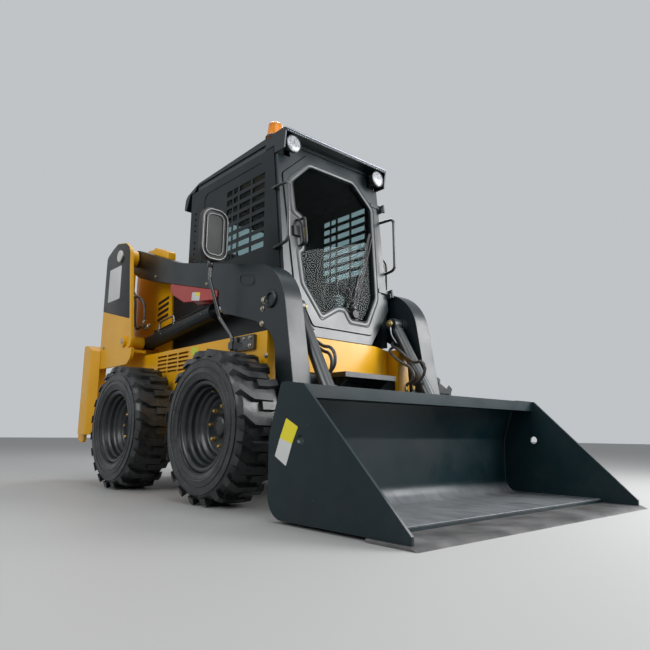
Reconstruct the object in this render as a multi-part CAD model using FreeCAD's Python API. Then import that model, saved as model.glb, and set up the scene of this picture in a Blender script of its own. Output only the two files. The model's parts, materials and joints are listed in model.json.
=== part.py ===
import FreeCAD, Part
import math
import os

# Skid steer loader with a general bucket, in millimetres.
# X points forward from the middle of the wheelbase, Y to the machine's left, Z up from the ground.

V = FreeCAD.Vector

# Widths, each worked out from the cab outward
cab_half_y = 426.0
cab_arm_gap = 36.0
arm_width = 119.0
arm_tower_gap = 17.0
tower_reach = 119.0
axle_reach = 160.0
arm_inner_y = cab_half_y + cab_arm_gap
arm_outer_y = arm_inner_y + arm_width
arm_mid_y = (arm_inner_y + arm_outer_y) / 2
tower_inner_y = arm_inner_y - arm_tower_gap
tower_outer_y = arm_outer_y + tower_reach
case_inner_y = tower_inner_y
case_outer_y = arm_outer_y - 1
wheel_plane_y = case_outer_y + axle_reach
tilt_y = arm_inner_y - 62
door_hinge_y = cab_half_y + 16
rear_hinge_y = tower_inner_y - 11
guard_inner_y = tower_outer_y - 60

# Wheels and tyres
wheelbase = 1102.0
tyre_radius = 389.0
tyre_width = 264.0
lug_height = 24.0
lugs_round = 20
rim_seat_radius = 212.0
rim_flange_radius = 228.0
hub_shaft_radius = 30.0
seat_gap = 0.3
running_gap = 6.0

# Chassis
sill_top_z = 890.0
belly_z = 200.0
chassis_front_x = 715.0
chassis_rear_x = -1300.0
plate = 10.0

# Rear towers that carry the lift arms
tower_plate = 22.0
tower_rear_x = -1312.0
tower_top_z = 1782.0
arm_pivot_x = -1030.0
arm_pivot_z = 1660.0
arm_pin_radius = 32.0

# Lift arms
arm_wall = 14.0
elbow_x = 826.0
elbow_z = 1227.0
hinge_x = 995.0
hinge_z = 205.0
hinge_pin_radius = 22.0

# Lift cylinders
lift_base_x = -860.0
lift_base_z = 990.0
base_pin_radius = 22.0
lift_eye_x = 250.0
lift_eye_z = 1110.0
lift_eye_half = 43.0
lift_barrel_radius = 50.0
lift_rod_radius = 24.0

# Tilt cylinders
tilt_top_x = 735.0
tilt_top_z = 1045.0
tilt_foot_x = 1085.0
tilt_foot_z = 430.0
tilt_barrel_radius = 36.0
tilt_pin_radius = 18.0
tilt_rod_radius = 22.0
tube_x = 880.0
tube_z = 450.0
tube_radius = 50.0
hose_radius = 9.0

# Cab
cab_rear_x = -480.0
front_foot_x = 687.0
front_foot_z = 900.0
front_lean_deg = 6.8
roof_front_x = 640.0
roof_top_z = 2147.0
roof_under_z = 2100.3
visor_thick = 26.0
cab_tail_z = 2066.0
door_gap = 5.0
door_thick = 34.0
door_proud = 8.0
door_hinge_x = 720.0
glass_thick = 6.0
seat_box_z = 1020.0
side_plate = 8.0

# Bucket
bucket_half_y = 888.0
edge_half_y = bucket_half_y + 13
bucket_tip_x = 1979.0
bucket_sheet = 12.0
bucket_floor_z = 14.0
bucket_eye_x = 1386.0
bucket_eye_z = 331.0
bucket_eye_radius = 21.0

# Rear
rear_hinge_x = -1347.0
hood_hinge_x = -498.0
hood_hinge_z = 1480.0
guard_rear_x = -1500.0
hook_rear_x = -1605.0

mid_x = (bucket_tip_x + hook_rear_x) / 2


def corner_edges(points, place):
    """Edges of a closed outline; each point is (a, b) or (a, b, corner radius)."""
    count = len(points)
    starts, ends, arcs = [], [], []
    for index, point in enumerate(points):
        a, b = point[0], point[1]
        radius = point[2] if len(point) > 2 else 0
        before, after = points[index - 1], points[(index + 1) % count]
        ua, ub = before[0] - a, before[1] - b
        wa, wb = after[0] - a, after[1] - b
        ul, wl = math.hypot(ua, ub), math.hypot(wa, wb)
        ua, ub, wa, wb = ua / ul, ub / ul, wa / wl, wb / wl
        half = math.acos(max(-1, min(1, ua * wa + ub * wb))) / 2
        if radius <= 0 or half > math.pi / 2 - 0.01:
            starts.append((a, b))
            ends.append((a, b))
            arcs.append(None)
            continue
        run = radius / math.tan(half)
        ma, mb = ua + wa, ub + wb
        ml = math.hypot(ma, mb)
        reach = radius / math.sin(half) - radius
        starts.append((a + ua * run, b + ub * run))
        ends.append((a + wa * run, b + wb * run))
        arcs.append((a + ma / ml * reach, b + mb / ml * reach))
    edges = []
    for index in range(count):
        if arcs[index]:
            edges.append(Part.Arc(place(starts[index]), place(arcs[index]),
                                  place(ends[index])).toShape())
        following = (index + 1) % count
        first, last = place(ends[index]), place(starts[following])
        if first.distanceToPoint(last) > 0.01:
            edges.append(Part.makeLine(first, last))
    return edges


def face_of(points, place):
    return Part.Face(Part.Wire(corner_edges(points, place)))


def side_prism(points, y_low, y_high):
    """Solid from an outline in X and Z, between two Y values."""
    face = face_of(points, lambda p: V(p[0], y_low, p[1]))
    return face.extrude(V(0, y_high - y_low, 0))


def front_prism(points, x_low, x_high):
    """Solid from an outline in Y and Z, between two X values."""
    face = face_of(points, lambda p: V(x_low, p[0], p[1]))
    return face.extrude(V(x_high - x_low, 0, 0))


def top_prism(points, z_low, z_high):
    """Solid from an outline in X and Y, between two Z values."""
    face = face_of(points, lambda p: V(p[0], p[1], z_low))
    return face.extrude(V(0, 0, z_high - z_low))


def block(x_low, x_high, y_low, y_high, z_low, z_high):
    return Part.makeBox(x_high - x_low, y_high - y_low, z_high - z_low, V(x_low, y_low, z_low))


def disc_y(x, z, radius, y_low, y_high):
    return Part.makeCylinder(radius, y_high - y_low, V(x, y_low, z), V(0, 1, 0))


def rod_between(start, end, radius):
    way = end.sub(start)
    return Part.makeCylinder(radius, way.Length, start, way)


def join(*shapes):
    whole = shapes[0].fuse(list(shapes[1:]))
    return whole.removeSplitter()


def flip(shape):
    """The same piece on the machine's other side."""
    return shape.mirror(V(0, 0, 0), V(0, 1, 0))


def both_sides(shape):
    return Part.makeCompound([shape, flip(shape)])


def symmetric(half_outline):
    """A closed outline from its left half, listed upward; the right half mirrors it."""
    return half_outline + [(-p[0],) + tuple(p[1:]) for p in reversed(half_outline)]


def bent_tube(points, radius, bend=None):
    """Round tube along straight runs joined by arcs; with no bend given they are as large as fits."""
    edges = []
    start = points[0]
    for index in range(1, len(points) - 1):
        corner = points[index]
        u = points[index - 1].sub(corner)
        w = points[index + 1].sub(corner)
        run = 0.45 * min(u.Length, w.Length)
        u.normalize()
        w.normalize()
        half = u.getAngle(w) / 2
        if bend:
            run = bend / math.tan(half)
        arc_in = corner.add(u * run)
        arc_out = corner.add(w * run)
        arc_radius = run * math.tan(half)
        middle = corner.add(u.add(w).normalize() * (arc_radius / math.sin(half) - arc_radius))
        edges.append(Part.makeLine(start, arc_in))
        edges.append(Part.Arc(arc_in, middle, arc_out).toShape())
        start = arc_out
    edges.append(Part.makeLine(start, points[-1]))
    path = Part.Wire(edges)
    ring = Part.Wire(Part.makeCircle(radius, points[0], points[1].sub(points[0])))
    return path.makePipeShell([ring], True, False)


# Tyre: a carcass turned from its section, with long and short lugs by turns
carcass_radius = tyre_radius - lug_height
half_tyre = tyre_width / 2
bead_half = 95.7
tyre_section = [  # radius, distance from the wheel plane
    (rim_seat_radius + seat_gap, bead_half),
    (rim_flange_radius + 0.6, bead_half + 4),
    (rim_flange_radius + 10, half_tyre - 12),
    (262, half_tyre - 3),
    (270, half_tyre),
    (280, half_tyre - 4),
    (328, half_tyre - 4),
    (350, half_tyre - 14),
    (carcass_radius, half_tyre - 34),
]
lug_width = 44.0
lug_centres = [  # degrees round, centre line as way round and distance outward
    (0.0, [(-28, half_tyre - 1), (20, 50), (24, -62)]),
    (9.9, [(-10, -half_tyre + 1), (2, -58), (2, 4)]),
]
lug_reach = 43.0
lug_top_radius = math.sqrt(tyre_radius ** 2 - lug_reach ** 2)
contact_turn = -math.degrees(math.atan2(lug_reach, lug_top_radius))


def lug_outline(centres, width, end_trim):
    """Outline round a bent centre line, widened by half the width each way."""
    first, bend, last = centres
    sign = 1 if first[1] > last[1] else -1
    first = (first[0], first[1] - sign * end_trim)
    one = [(p[0] - width / 2, p[1]) for p in (first, bend, last)]
    other = [(p[0] + width / 2, p[1]) for p in (last, bend, first)]
    return one + other


def lug(centres):
    """A lug stands radially, a little narrower at its top."""
    rings = []
    for radius, width, trim in ((carcass_radius - 12, lug_width + 8, 0),
                                (lug_top_radius, lug_width - 6, 14)):
        points = [V(s, y, radius) for s, y in lug_outline(centres, width, trim)]
        rings.append(Part.makePolygon(points + [points[0]]))
    return Part.makeLoft(rings, True, True)


def tyre():
    outline = tyre_section + [(r, -y) for r, y in reversed(tyre_section)]
    face = face_of(outline, lambda p: V(0, p[1], p[0]))
    carcass = face.revolve(V(0, 0, 0), V(0, 1, 0), 360)
    lugs = []
    for turn in range(lugs_round):
        for offset, centres in lug_centres:
            one = lug(centres)
            one.rotate(V(0, 0, 0), V(0, 1, 0), 360.0 / lugs_round * turn + offset + contact_turn)
            lugs.append(one)
    return carcass.fuse(lugs)


# Rim: stepped dish turned from one section, with the hub that turns in the axle tube
rim_section = [  # radius, distance outward from the wheel plane
    (48, -24), (142, -24), (160, -14), (184, -16), (196, -30), (rim_seat_radius - 14, -102),
    (rim_seat_radius - 12, -108), (rim_flange_radius, -108), (rim_flange_radius, -100),
    (rim_seat_radius, -96), (rim_seat_radius, 96), (rim_flange_radius, 100), (rim_flange_radius, 108),
    (rim_seat_radius + 2, 110), (rim_seat_radius - 10, 92), (199, 74), (190, 66), (186, 42),
    (176, 35), (171, 20), (158, 11), (148, -4), (138, -12), (48, -12),
]
hub_section = [  # radius, distance outward from the wheel plane
    (0, -240), (hub_shaft_radius, -240), (hub_shaft_radius, -130), (92, -130), (92, -114), (72, -106),
    (72, -44), (92, -36), (92, -24.0), (47, -24.0), (47, 10), (38, 18), (0, 18),
]


def turned_piece(section):
    face = face_of(section, lambda p: V(0, p[1], p[0]))
    return face.revolve(V(0, 0, 0), V(0, 1, 0), 360)


def wheel_pieces():
    return {"tyre": tyre(), "rim": join(turned_piece(rim_section), turned_piece(hub_section))}


# Chassis: a welded tub between two chain cases that reach up to the sills
case_outline = [  # X, Z, corner radius
    (chassis_front_x, 300, 40), (chassis_front_x, sill_top_z), (-780, sill_top_z), (-860, 930, 60),
    (chassis_rear_x, 930), (chassis_rear_x, 420, 60), (-1120, 250, 60), (600, 250, 60),
]
grille_low_x, grille_high_x = -560.0, -130.0
grille_low_z, grille_high_z = 742.0, 862.0
grille_rows = 5
grille_columns = 3
axle_x = {"front": wheelbase / 2, "rear": -wheelbase / 2}


def slot_grid(x_low, x_high, z_low, z_high, rows, columns, bar, y_low, y_high, slope=0.0):
    """Long slots in rows and columns, with bars between them; slope leans the rows."""
    wide = (x_high - x_low + bar) / columns - bar
    high = (z_high - z_low + bar) / rows - bar
    slots = []
    for row in range(rows):
        for column in range(columns):
            x = x_low + column * (wide + bar)
            z = z_low + row * (high + bar)
            outline = [(x, z + x * slope), (x + wide, z + (x + wide) * slope),
                       (x + wide, z + high + (x + wide) * slope), (x, z + high + x * slope)]
            slots.append(side_prism(outline, y_low, y_high))
    return slots


def side_case():
    """Right-hand chain case with its sill, side grille and two axle tubes."""
    body = side_prism(case_outline, case_inner_y, case_outer_y)
    room = block(grille_low_x - 10, grille_high_x + 10, case_inner_y + 40, case_outer_y - 6,
                 grille_low_z - 10, grille_high_z + 8)
    body = body.cut(room)
    body = body.cut(slot_grid(grille_low_x, grille_high_x, grille_low_z, grille_high_z,
                              grille_rows, grille_columns, 12, case_outer_y - 10, case_outer_y + 5))
    tubes = [disc_y(x, tyre_radius, 84, case_outer_y - 2, wheel_plane_y - 136) for x in axle_x.values()]
    body = join(body, *tubes)
    for x in axle_x.values():
        bore = disc_y(x, tyre_radius, hub_shaft_radius + seat_gap, case_inner_y + 10, wheel_plane_y)
        body = body.cut(bore)
    return flip(body)


tub_top_z = 690.0
tub_outline = [  # X, Z, corner radius
    (560, belly_z, 40), (chassis_front_x - 20, 330, 40), (chassis_front_x - 20, tub_top_z),
    (-1290, tub_top_z),
    (-1290, 400, 40), (-1080, belly_z, 40),
]
inside_outline = [
    (556, belly_z + plate, 36), (chassis_front_x - 30, 334, 36), (chassis_front_x - 30, 800),
    (-1280, 800), (-1280, 404, 36), (-1076, belly_z + plate, 36),
]


def chassis_tub():
    wide = case_inner_y - seat_gap
    tub = side_prism(tub_outline, -wide, wide)
    tub = tub.cut(side_prism(inside_outline, -wide - 5, wide + 5))
    fire_wall = block(-440, -430, -wide, wide, belly_z + plate - 1, 860)
    ribs = [block(x, x + 60, -wide, wide, belly_z + plate - 1, belly_z + 60) for x in (-900, 100)]
    return join(tub, fire_wall, *ribs)


def front_cross():
    """Yellow front panel below the cab: flat in the middle and swept back at its sides."""
    deep = 12
    end = case_inner_y - seat_gap
    flat = cab_half_y - 186
    outline = [(chassis_front_x + 1, -flat), (chassis_front_x + 1, flat), (630, end),
               (630 - deep, end), (chassis_front_x - deep, flat - 4),
               (chassis_front_x - deep, 4 - flat), (630 - deep, -end), (630, -end)]
    return top_prism(outline, tub_top_z + seat_gap, sill_top_z)


def entry_step():
    step = block(chassis_front_x - 19.7, 905, -190, 215, 662, 690)
    hollow = block(chassis_front_x, 893, -178, 203, 650, 682)
    ribs = [side_prism([(chassis_front_x - 19.7, 560), (chassis_front_x + 20, 560), (885, 664),
                        (885, 684), (chassis_front_x - 19.7, 684)], y, y + 12) for y in (-150, 170)]
    holes = [disc_like(x, y, 12, 650, 700) for x in (750, 800, 850) for y in range(-150, 190, 60)]
    return join(step.cut(hollow), *ribs).cut(holes)


def disc_like(x, y, radius, z_low, z_high):
    return Part.makeCylinder(radius, z_high - z_low, V(x, y, z_low))


# Towers: an outer plate and an inner plate with the arm between them, closed at the back
tower_front_x = lift_base_x + 125
tower_foot_z = sill_top_z + 45
tower_back = [(arm_pivot_x - 90, tower_top_z, 60), (tower_rear_x, tower_top_z - 70, 50)]
tower_outline = [  # X, Z, corner radius
    (tower_front_x, tower_foot_z, 60), (arm_pivot_x + 162, arm_pivot_z + 30, 90),
    (arm_pivot_x + 70, tower_top_z - 30, 60), *tower_back, (tower_rear_x, tower_foot_z),
]
tower_inner_outline = [
    (tower_front_x + 95, tower_foot_z - 4), (tower_front_x + 45, arm_pivot_z - 220, 40),
    (arm_pivot_x + 130, tower_top_z - 34, 60), *tower_back, (tower_rear_x, tower_foot_z - 4),
]


def tower_outer():
    """Right-hand outer plate with its front flange, pivot boss and cylinder boss."""
    low = tower_outer_y - tower_plate
    body = side_prism(tower_outline, low, tower_outer_y)
    foot = tower_foot_z
    skirt = side_prism([(tower_rear_x, foot + 1), (tower_front_x, foot + 1), (tower_front_x, foot - 65, 60),
                        (tower_front_x - 65, foot - 113, 60), (tower_rear_x, foot - 113)],
                       low, tower_outer_y)
    shelf = block(tower_rear_x, tower_front_x - 25, case_outer_y + seat_gap, low + 1, foot - 30, foot - 10)
    back = block(tower_rear_x, tower_rear_x + 12, tower_inner_y + 20, low + 1, foot - 4, arm_pivot_z - 20)
    pivot = disc_y(arm_pivot_x, arm_pivot_z, 62, arm_outer_y + running_gap, low + 1)
    base = disc_y(lift_base_x, lift_base_z, 44, arm_mid_y + lift_eye_half + 1.5, low + 1)
    boss = disc_y(lift_base_x, lift_base_z, 40, tower_outer_y - 1, tower_outer_y + 18)
    return flip(join(body, skirt, shelf, back, pivot, base, boss).cut(pin_holes()))


def tower_inner():
    """Right-hand inner plate with three cooling slots and its pivot boss."""
    body = side_prism(tower_inner_outline, tower_inner_y - 16, tower_inner_y)
    body = body.cut(slot_grid(-880, -720, 1195, 1330, 3, 1, 22, tower_inner_y - 20,
                              tower_inner_y + 5, slope=-0.35))
    pivot = disc_y(arm_pivot_x, arm_pivot_z, 62, tower_inner_y - 1, arm_inner_y - running_gap)
    base = disc_y(lift_base_x, lift_base_z, 44, tower_inner_y - 1, arm_mid_y - lift_eye_half - 1.5)
    return flip(join(body, pivot, base).cut(pin_holes()))


def pin_holes():
    """Bores for the arm pivot pin and the cylinder base pin."""
    ends = (tower_inner_y - 45, tower_outer_y + 100)
    return [disc_y(arm_pivot_x, arm_pivot_z, arm_pin_radius + seat_gap, *ends),
            disc_y(lift_base_x, lift_base_z, base_pin_radius + seat_gap, *ends)]


def tower_pins():
    """Arm pivot pin and cylinder base pin of one side, each with a round cap outside."""
    arm_pin = join(disc_y(arm_pivot_x, arm_pivot_z, arm_pin_radius, tower_inner_y - 14,
                          tower_outer_y + 4),
                   disc_y(arm_pivot_x, arm_pivot_z, 48, tower_outer_y + seat_gap,
                          tower_outer_y + 14))
    base_pin = disc_y(lift_base_x, lift_base_z, base_pin_radius, tower_inner_y - 14,
                      tower_outer_y + 22)
    return flip(Part.makeCompound([arm_pin, base_pin]))


tower_hose_routes = [  # X, distance inward from the outer plate's inner face, Z
    [(-1000, seat_gap, 1420), (-1000, 38, 1420), (-965, 72, 1385), (-950, 76, 1320), (-944, 77, 1250),
     (-930, 72, 1180), (-895, 62, 1122), (-845, 56, 1088), (-795, 56, 1086), (-750, 58, 1114)],
    [(-850, seat_gap, 1330), (-850, 38, 1330), (-808, 70, 1302), (-786, 78, 1245), (-781, 79, 1180),
     (-787, 81, 1118), (-768, 82, 1074), (-728, 82, 1088)],
]


def tower_hoses():
    """Right-hand pair of hoses that hang from the outer plate beside the lift cylinder's base."""
    hoses = []
    for route in tower_hose_routes:
        face_y = tower_outer_y - tower_plate
        points = [V(x, -(face_y - inward), z) for x, inward, z in route]
        hoses.append(bent_tube(points, hose_radius))
    return Part.makeCompound(hoses)


def door_knuckles(z_values, toward_x, toward_y):
    """Hinge knuckles of the rear door, each with a leaf toward what carries it."""
    pieces = []
    for z in z_values:
        knuckle = Part.makeCylinder(9, 40, V(rear_hinge_x, rear_hinge_y, z), V(0, 0, 1))
        leaf = block(min(rear_hinge_x, toward_x), max(rear_hinge_x, toward_x),
                     min(rear_hinge_y, toward_y), max(rear_hinge_y, toward_y), z, z + 40)
        pieces += [knuckle, leaf]
    return pieces


# Lift arm: box beam from the tower to the elbow and the leg down to the bucket
gusset_x = lift_eye_x - 45
gusset_z = 1198.0
under_slope = 0.25
arm_outline = [  # X, Z, corner radius
    (arm_pivot_x - 92, arm_pivot_z - 78, 84), (arm_pivot_x - 92, arm_pivot_z + 88, 88),
    (arm_pivot_x + 30, arm_pivot_z + 66, 60), (-314, 1480, 300), (elbow_x, elbow_z, 300),
    (hinge_x - 52, 592, 300), (hinge_x + 52, hinge_z + 10, 50), (hinge_x + 50, hinge_z - 56, 50),
    (hinge_x - 58, hinge_z - 56, 50), (hinge_x - 66, hinge_z + 60, 80),
    (tube_x - 66, tube_z - 40, 90), (775, 860, 160), (600, 955, 120), (330, 1030, 70),
    (gusset_x + 60, 1040, 40), (gusset_x, lift_eye_z + 10, 60), (gusset_x, gusset_z, 20),
    (-767, gusset_z + (gusset_x + 767) * under_slope, 200), (-960, 1500, 80),
]
arm_slot_outline = [
    (120, 980), (470, 980), (430, 1085, 40), (310, 1165, 50), (200, 1172, 30), (80, 1180),
]


def under_arm(x):
    """Height of the straight underside between the tower and the gusset."""
    return gusset_z + (gusset_x - x) * under_slope


def lift_arm():
    body = side_prism(arm_outline, arm_inner_y, arm_outer_y)
    slot = side_prism(arm_slot_outline, arm_inner_y + arm_wall, arm_outer_y - arm_wall)
    body = body.cut(slot)
    for x, z, radius in ((arm_pivot_x, arm_pivot_z, arm_pin_radius), (hinge_x, hinge_z, hinge_pin_radius)):
        body = body.cut(disc_y(x, z, radius + seat_gap, arm_inner_y - 60, arm_outer_y + 60))
    lug_plate = side_prism([(tilt_top_x - 42, tilt_top_z - 40, 30), (tilt_top_x - 42, tilt_top_z + 42, 40),
                            (tilt_top_x + 42, tilt_top_z + 42, 40),
                            (tilt_top_x + 42, tilt_top_z - 40, 30)], arm_inner_y - 22, arm_inner_y + 1)
    pin = disc_y(tilt_top_x, tilt_top_z, tilt_pin_radius, tilt_y - 42, arm_inner_y)
    head = disc_y(tilt_top_x, tilt_top_z, 27, tilt_y - 48, tilt_y - 40)
    return flip(join(body, lug_plate, pin, head))


coupler_z = tube_z + 155
arm_hose_routes = {  # X, distance inward from the arm's inner face, Z
    -1: [[(725, seat_gap, 935), (725, 62, 935), (745, 117, 900), (815, 129, 856), (880, 132, 812),
          (935, 132, 806), (975, 130, 765), (978, 128, 705), (935, 127, 668),
          (935, 127, coupler_z + seat_gap)],
         [(725, seat_gap, 903), (725, 62, 903), (742, 137, 870), (800, 152, 826), (858, 154, 790),
          (898, 154, 780), (925, 154, 742), (922, 152, 692), (900, 150, 658),
          (900, 150, coupler_z + seat_gap)]],
    1: [[(725, seat_gap, 935), (725, 62, 935), (750, 112, 905), (830, 125, 862), (900, 128, 808),
         (955, 130, 776), (1000, 130, 786), (1032, 129, 750), (1016, 127, 698), (975, 126, 664),
         (935, 126, 652), (935, 126, coupler_z + seat_gap)],
        [(725, seat_gap, 903), (725, 62, 903), (748, 137, 868), (815, 151, 815), (880, 153, 775),
         (935, 153, 752), (962, 152, 705), (945, 150, 662), (900, 150, 650),
         (900, 150, coupler_z + seat_gap)]],
}


def arm_cross():
    """Torque tube between the two legs, with a coupler bracket for the hoses near each end."""
    tube = disc_y(tube_x, tube_z, tube_radius, -arm_inner_y + seat_gap, arm_inner_y - seat_gap)
    outline = [(tube_x - 14, tube_z + 44), (tube_x + 26, tube_z + 36), (tube_x + 74, coupler_z - 14),
               (tube_x + 74, coupler_z), (tube_x, coupler_z), (tube_x, coupler_z - 40)]
    bracket = side_prism(outline, arm_inner_y - 165, arm_inner_y - 112)
    return join(tube, bracket, flip(bracket))


def arm_hoses():
    """Hoses that come round behind each tilt cylinder and loop down to the couplers."""
    hoses = []
    for side, routes in arm_hose_routes.items():
        for route in routes:
            points = [V(x, side * (arm_inner_y - inward), z) for x, inward, z in route]
            hoses.append(bent_tube(points, hose_radius))
    return Part.makeCompound(hoses)


def arm_stops():
    """Yellow stop blocks on top of the arms near the towers."""
    outline = [(-800, 1654.6), (-560, 1568.5), (-560, 1622, 14), (-600, 1640, 14), (-770, 1702, 14),
               (-800, 1700, 14)]
    return both_sides(side_prism(outline, arm_mid_y - 31.5, arm_mid_y + 31.5))


def arm_lock():
    """Red channel that is laid over an extended lift rod; it is stored under the right arm."""
    top = [(x, under_arm(x) - 0.5) for x in (-440, 180)]
    outline = [top[0]]
    for x, deep, radius in ((-440, 46, 8), (-404, 77, 8), (-240, 114, 20), (150, 62, 20), (180, 40, 8)):
        outline.append((x, under_arm(x) - deep, radius))
    outline.append(top[1])
    body = side_prism(outline, arm_mid_y - 55, arm_mid_y + 55)
    room = [(x, under_arm(x) - 7.5) for x in (-450, 190)]
    inside = room[:1] + [(-450, 1000), (190, 1000)] + room[1:]
    return flip(body.cut(side_prism(inside, arm_mid_y - 49, arm_mid_y + 49)))


# Cylinders: plain barrels and rods, each pair on one body
def unit(start, end):
    return end.sub(start).normalize()


def turned_along(start, way, section):
    """Solid turned about a line; each point of its section is (distance along, radius)."""
    face = face_of(section, lambda p: V(p[1], 0, p[0]))
    body = face.revolve(V(0, 0, 0), V(0, 0, 1), 360)
    body.Placement = FreeCAD.Placement(start, FreeCAD.Rotation(V(0, 0, 1), way))
    return body


def barrel_section(from_eye, length, bore_from, radius, bore):
    """Tube closed at its base, with a neck at its eye and a collar at the open end."""
    return [(from_eye, 0), (from_eye, radius - 8), (from_eye + 18, radius - 8), (from_eye + 26, radius),
            (length - 38, radius), (length - 38, radius + 3),
            (length, radius + 3), (length, bore), (bore_from, bore), (bore_from, 0)]


def lift_cylinder():
    y = arm_mid_y
    base = V(lift_base_x, y, lift_base_z)
    eye = V(lift_eye_x, y, lift_eye_z)
    way = unit(base, eye)
    length = base.distanceToPoint(eye) - 170
    barrel = join(turned_along(base, way, barrel_section(30, length, 120, lift_barrel_radius,
                                                         lift_rod_radius + seat_gap)),
                  disc_y(lift_base_x, lift_base_z, 44, y - lift_eye_half, y + lift_eye_half))
    up = V(-way.z, 0, way.x)
    line = [base + way * along + up * (lift_barrel_radius + rise)
            for along, rise in ((130, -4), (130, 14), (length - 20, 14), (length - 20, -4))]
    port = turned_along(line[0], up, [(0, 0), (0, 15), (26, 15), (26, 0)])
    barrel = join(barrel, bent_tube(line, 7, 10), port)
    barrel = barrel.cut(disc_y(lift_base_x, lift_base_z, base_pin_radius + seat_gap, y - 100, y + 100))
    rod = join(rod_between(base + way * 160, eye - way * 20, lift_rod_radius),
               disc_y(lift_eye_x, lift_eye_z, 38, y - 36, y + 36))
    return flip(barrel), flip(rod)


def tilt_cylinder():
    top = V(tilt_top_x, tilt_y, tilt_top_z)
    foot = V(tilt_foot_x, tilt_y, tilt_foot_z)
    way = unit(top, foot)
    length = top.distanceToPoint(foot) - 130
    barrel = join(turned_along(top, way, barrel_section(25, length, 50, tilt_barrel_radius,
                                                        tilt_rod_radius + seat_gap)),
                  disc_y(tilt_top_x, tilt_top_z, 38, tilt_y - 32, tilt_y + 32))
    barrel = barrel.cut(disc_y(tilt_top_x, tilt_top_z, tilt_pin_radius + seat_gap, tilt_y - 90, tilt_y + 90))
    rod = join(rod_between(top + way * 130, foot - way * 18, tilt_rod_radius),
               disc_y(tilt_foot_x, tilt_foot_z, 32, tilt_y - 30, tilt_y + 30))
    return flip(barrel), flip(rod)


# Quick hitch: frame behind the bucket with the hinge lugs and the cylinder lugs
def quick_hitch():
    back = bucket_back_x - seat_gap
    wide = arm_outer_y + 39
    face = front_prism(symmetric([(-wide, 120), (-wide, 200), (60 - wide, 470, 20)]), back - 14, back)
    window = front_prism([(-300, 200, 20), (300, 200, 20), (300, 410, 20), (-300, 410, 20)],
                         back - 20, back + 5)
    notches = [block(back - 20, back + 5, y - 35, y + 35, tilt_foot_z - 22, 480) for y in (-tilt_y, tilt_y)]
    face = face.cut([window, *notches])
    lugs = []
    for side in (-1, 1):
        for y_low in (arm_inner_y - 20, arm_outer_y + 6):
            low, high = sorted((side * y_low, side * (y_low + 14)))
            lugs.append(side_prism([(back - 1, 130), (hinge_x - 44, hinge_z - 44, 42),
                                    (hinge_x - 44, hinge_z + 44, 42), (back - 1, 320)], low, high))
        for y_low in (tilt_y - 50, tilt_y + 36):
            low, high = sorted((side * y_low, side * (y_low + 14)))
            lugs.append(side_prism([(back - 1, tilt_foot_z - 100), (tilt_foot_x - 34, tilt_foot_z - 34, 34),
                                    (tilt_foot_x - 34, tilt_foot_z + 34, 34),
                                    (tilt_foot_x + 30, tilt_foot_z + 34, 20), (back - 1, tilt_foot_z + 30)],
                                   low, high))
        ends = sorted((side * (arm_inner_y - 24), side * (arm_outer_y + 24)))
        lugs.append(disc_y(hinge_x, hinge_z, hinge_pin_radius, ends[0], ends[1]))
    return join(face, *lugs)


# Bucket: a bent sheet between two side plates, with a top bar and a hard edge
bucket_back_x = 1176.0
bucket_side_outline = [  # X, Z, corner radius
    (bucket_tip_x - 37, bucket_floor_z), (bucket_tip_x - 37, 41), (1398, 553, 14), (1290, 566),
    (1252, 566, 20), (bucket_back_x, 340), (bucket_back_x, bucket_floor_z, 96),
]
sheet_end_x = bucket_tip_x - 219
sheet_outer = [(sheet_end_x, bucket_floor_z), (bucket_back_x, bucket_floor_z, 96), (bucket_back_x, 340, 60),
               (1262, 560)]


def bucket_shell():
    s = bucket_sheet
    outline = sheet_outer + [(1262 + s, 556), (bucket_back_x + s, 338, 60 - s),
                             (bucket_back_x + s, bucket_floor_z + s, 96 - s),
                             (sheet_end_x, bucket_floor_z + s)]
    wide = bucket_half_y
    sheet = side_prism(outline, -wide + 1, wide - 1)
    bar = block(1264, 1385, -wide + 1, wide - 1, 500, 553).cut(
        block(1274, 1373, -wide - 1, wide + 1, 490, 543))
    sides = [side_prism(bucket_side_outline, low, low + s) for low in (-wide, wide - s)]
    eyes = [disc_y(bucket_eye_x, bucket_eye_z, bucket_eye_radius, low, low + s + 4)
            for low in (-wide - 2, wide - s - 2)]
    return join(sheet, bar, *sides).cut(eyes)


def bucket_edge():
    top = bucket_floor_z - seat_gap
    back = sheet_end_x - 8
    outline = [(bucket_tip_x, 0), (bucket_tip_x - 34, top), (back, top), (back, 0)]
    runners = [block(1330, back + 1, y - 60, y + 60, 0, top) for y in (-560, 0, 560)]
    return join(side_prism(outline, -edge_half_y, edge_half_y), *runners)


# Cab front: leaning hoop, the door in it, and the lower panel
def leaning(shape):
    turned = shape.copy()
    turned.rotate(V(front_foot_x, 0, front_foot_z), V(0, 1, 0), -front_lean_deg)
    return turned


def hinge_pieces(z_values, leaf):
    """Knuckles on the door's hinge line, each with a leaf given as X and Y limits."""
    pieces = []
    for z in z_values:
        pieces.append(Part.makeCylinder(9, 27, V(door_hinge_x, door_hinge_y, z), V(0, 0, 1)))
        pieces.append(block(*leaf, z, z + 27))
    return pieces


door_half = [  # Y, Z, corner radius, listed upward on one side
    (188 - cab_half_y, 962, 30), (66 - cab_half_y, 1200, 40), (24 - cab_half_y, 1890, 40),
    (221 - cab_half_y, 2072, 30),
]
hoop_top_z = 2107.0
hoop_half = [
    (188 - cab_half_y, front_foot_z), (-cab_half_y, 1150), (-cab_half_y, hoop_top_z),
]
lamp_ledge_z = 2020.0


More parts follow.
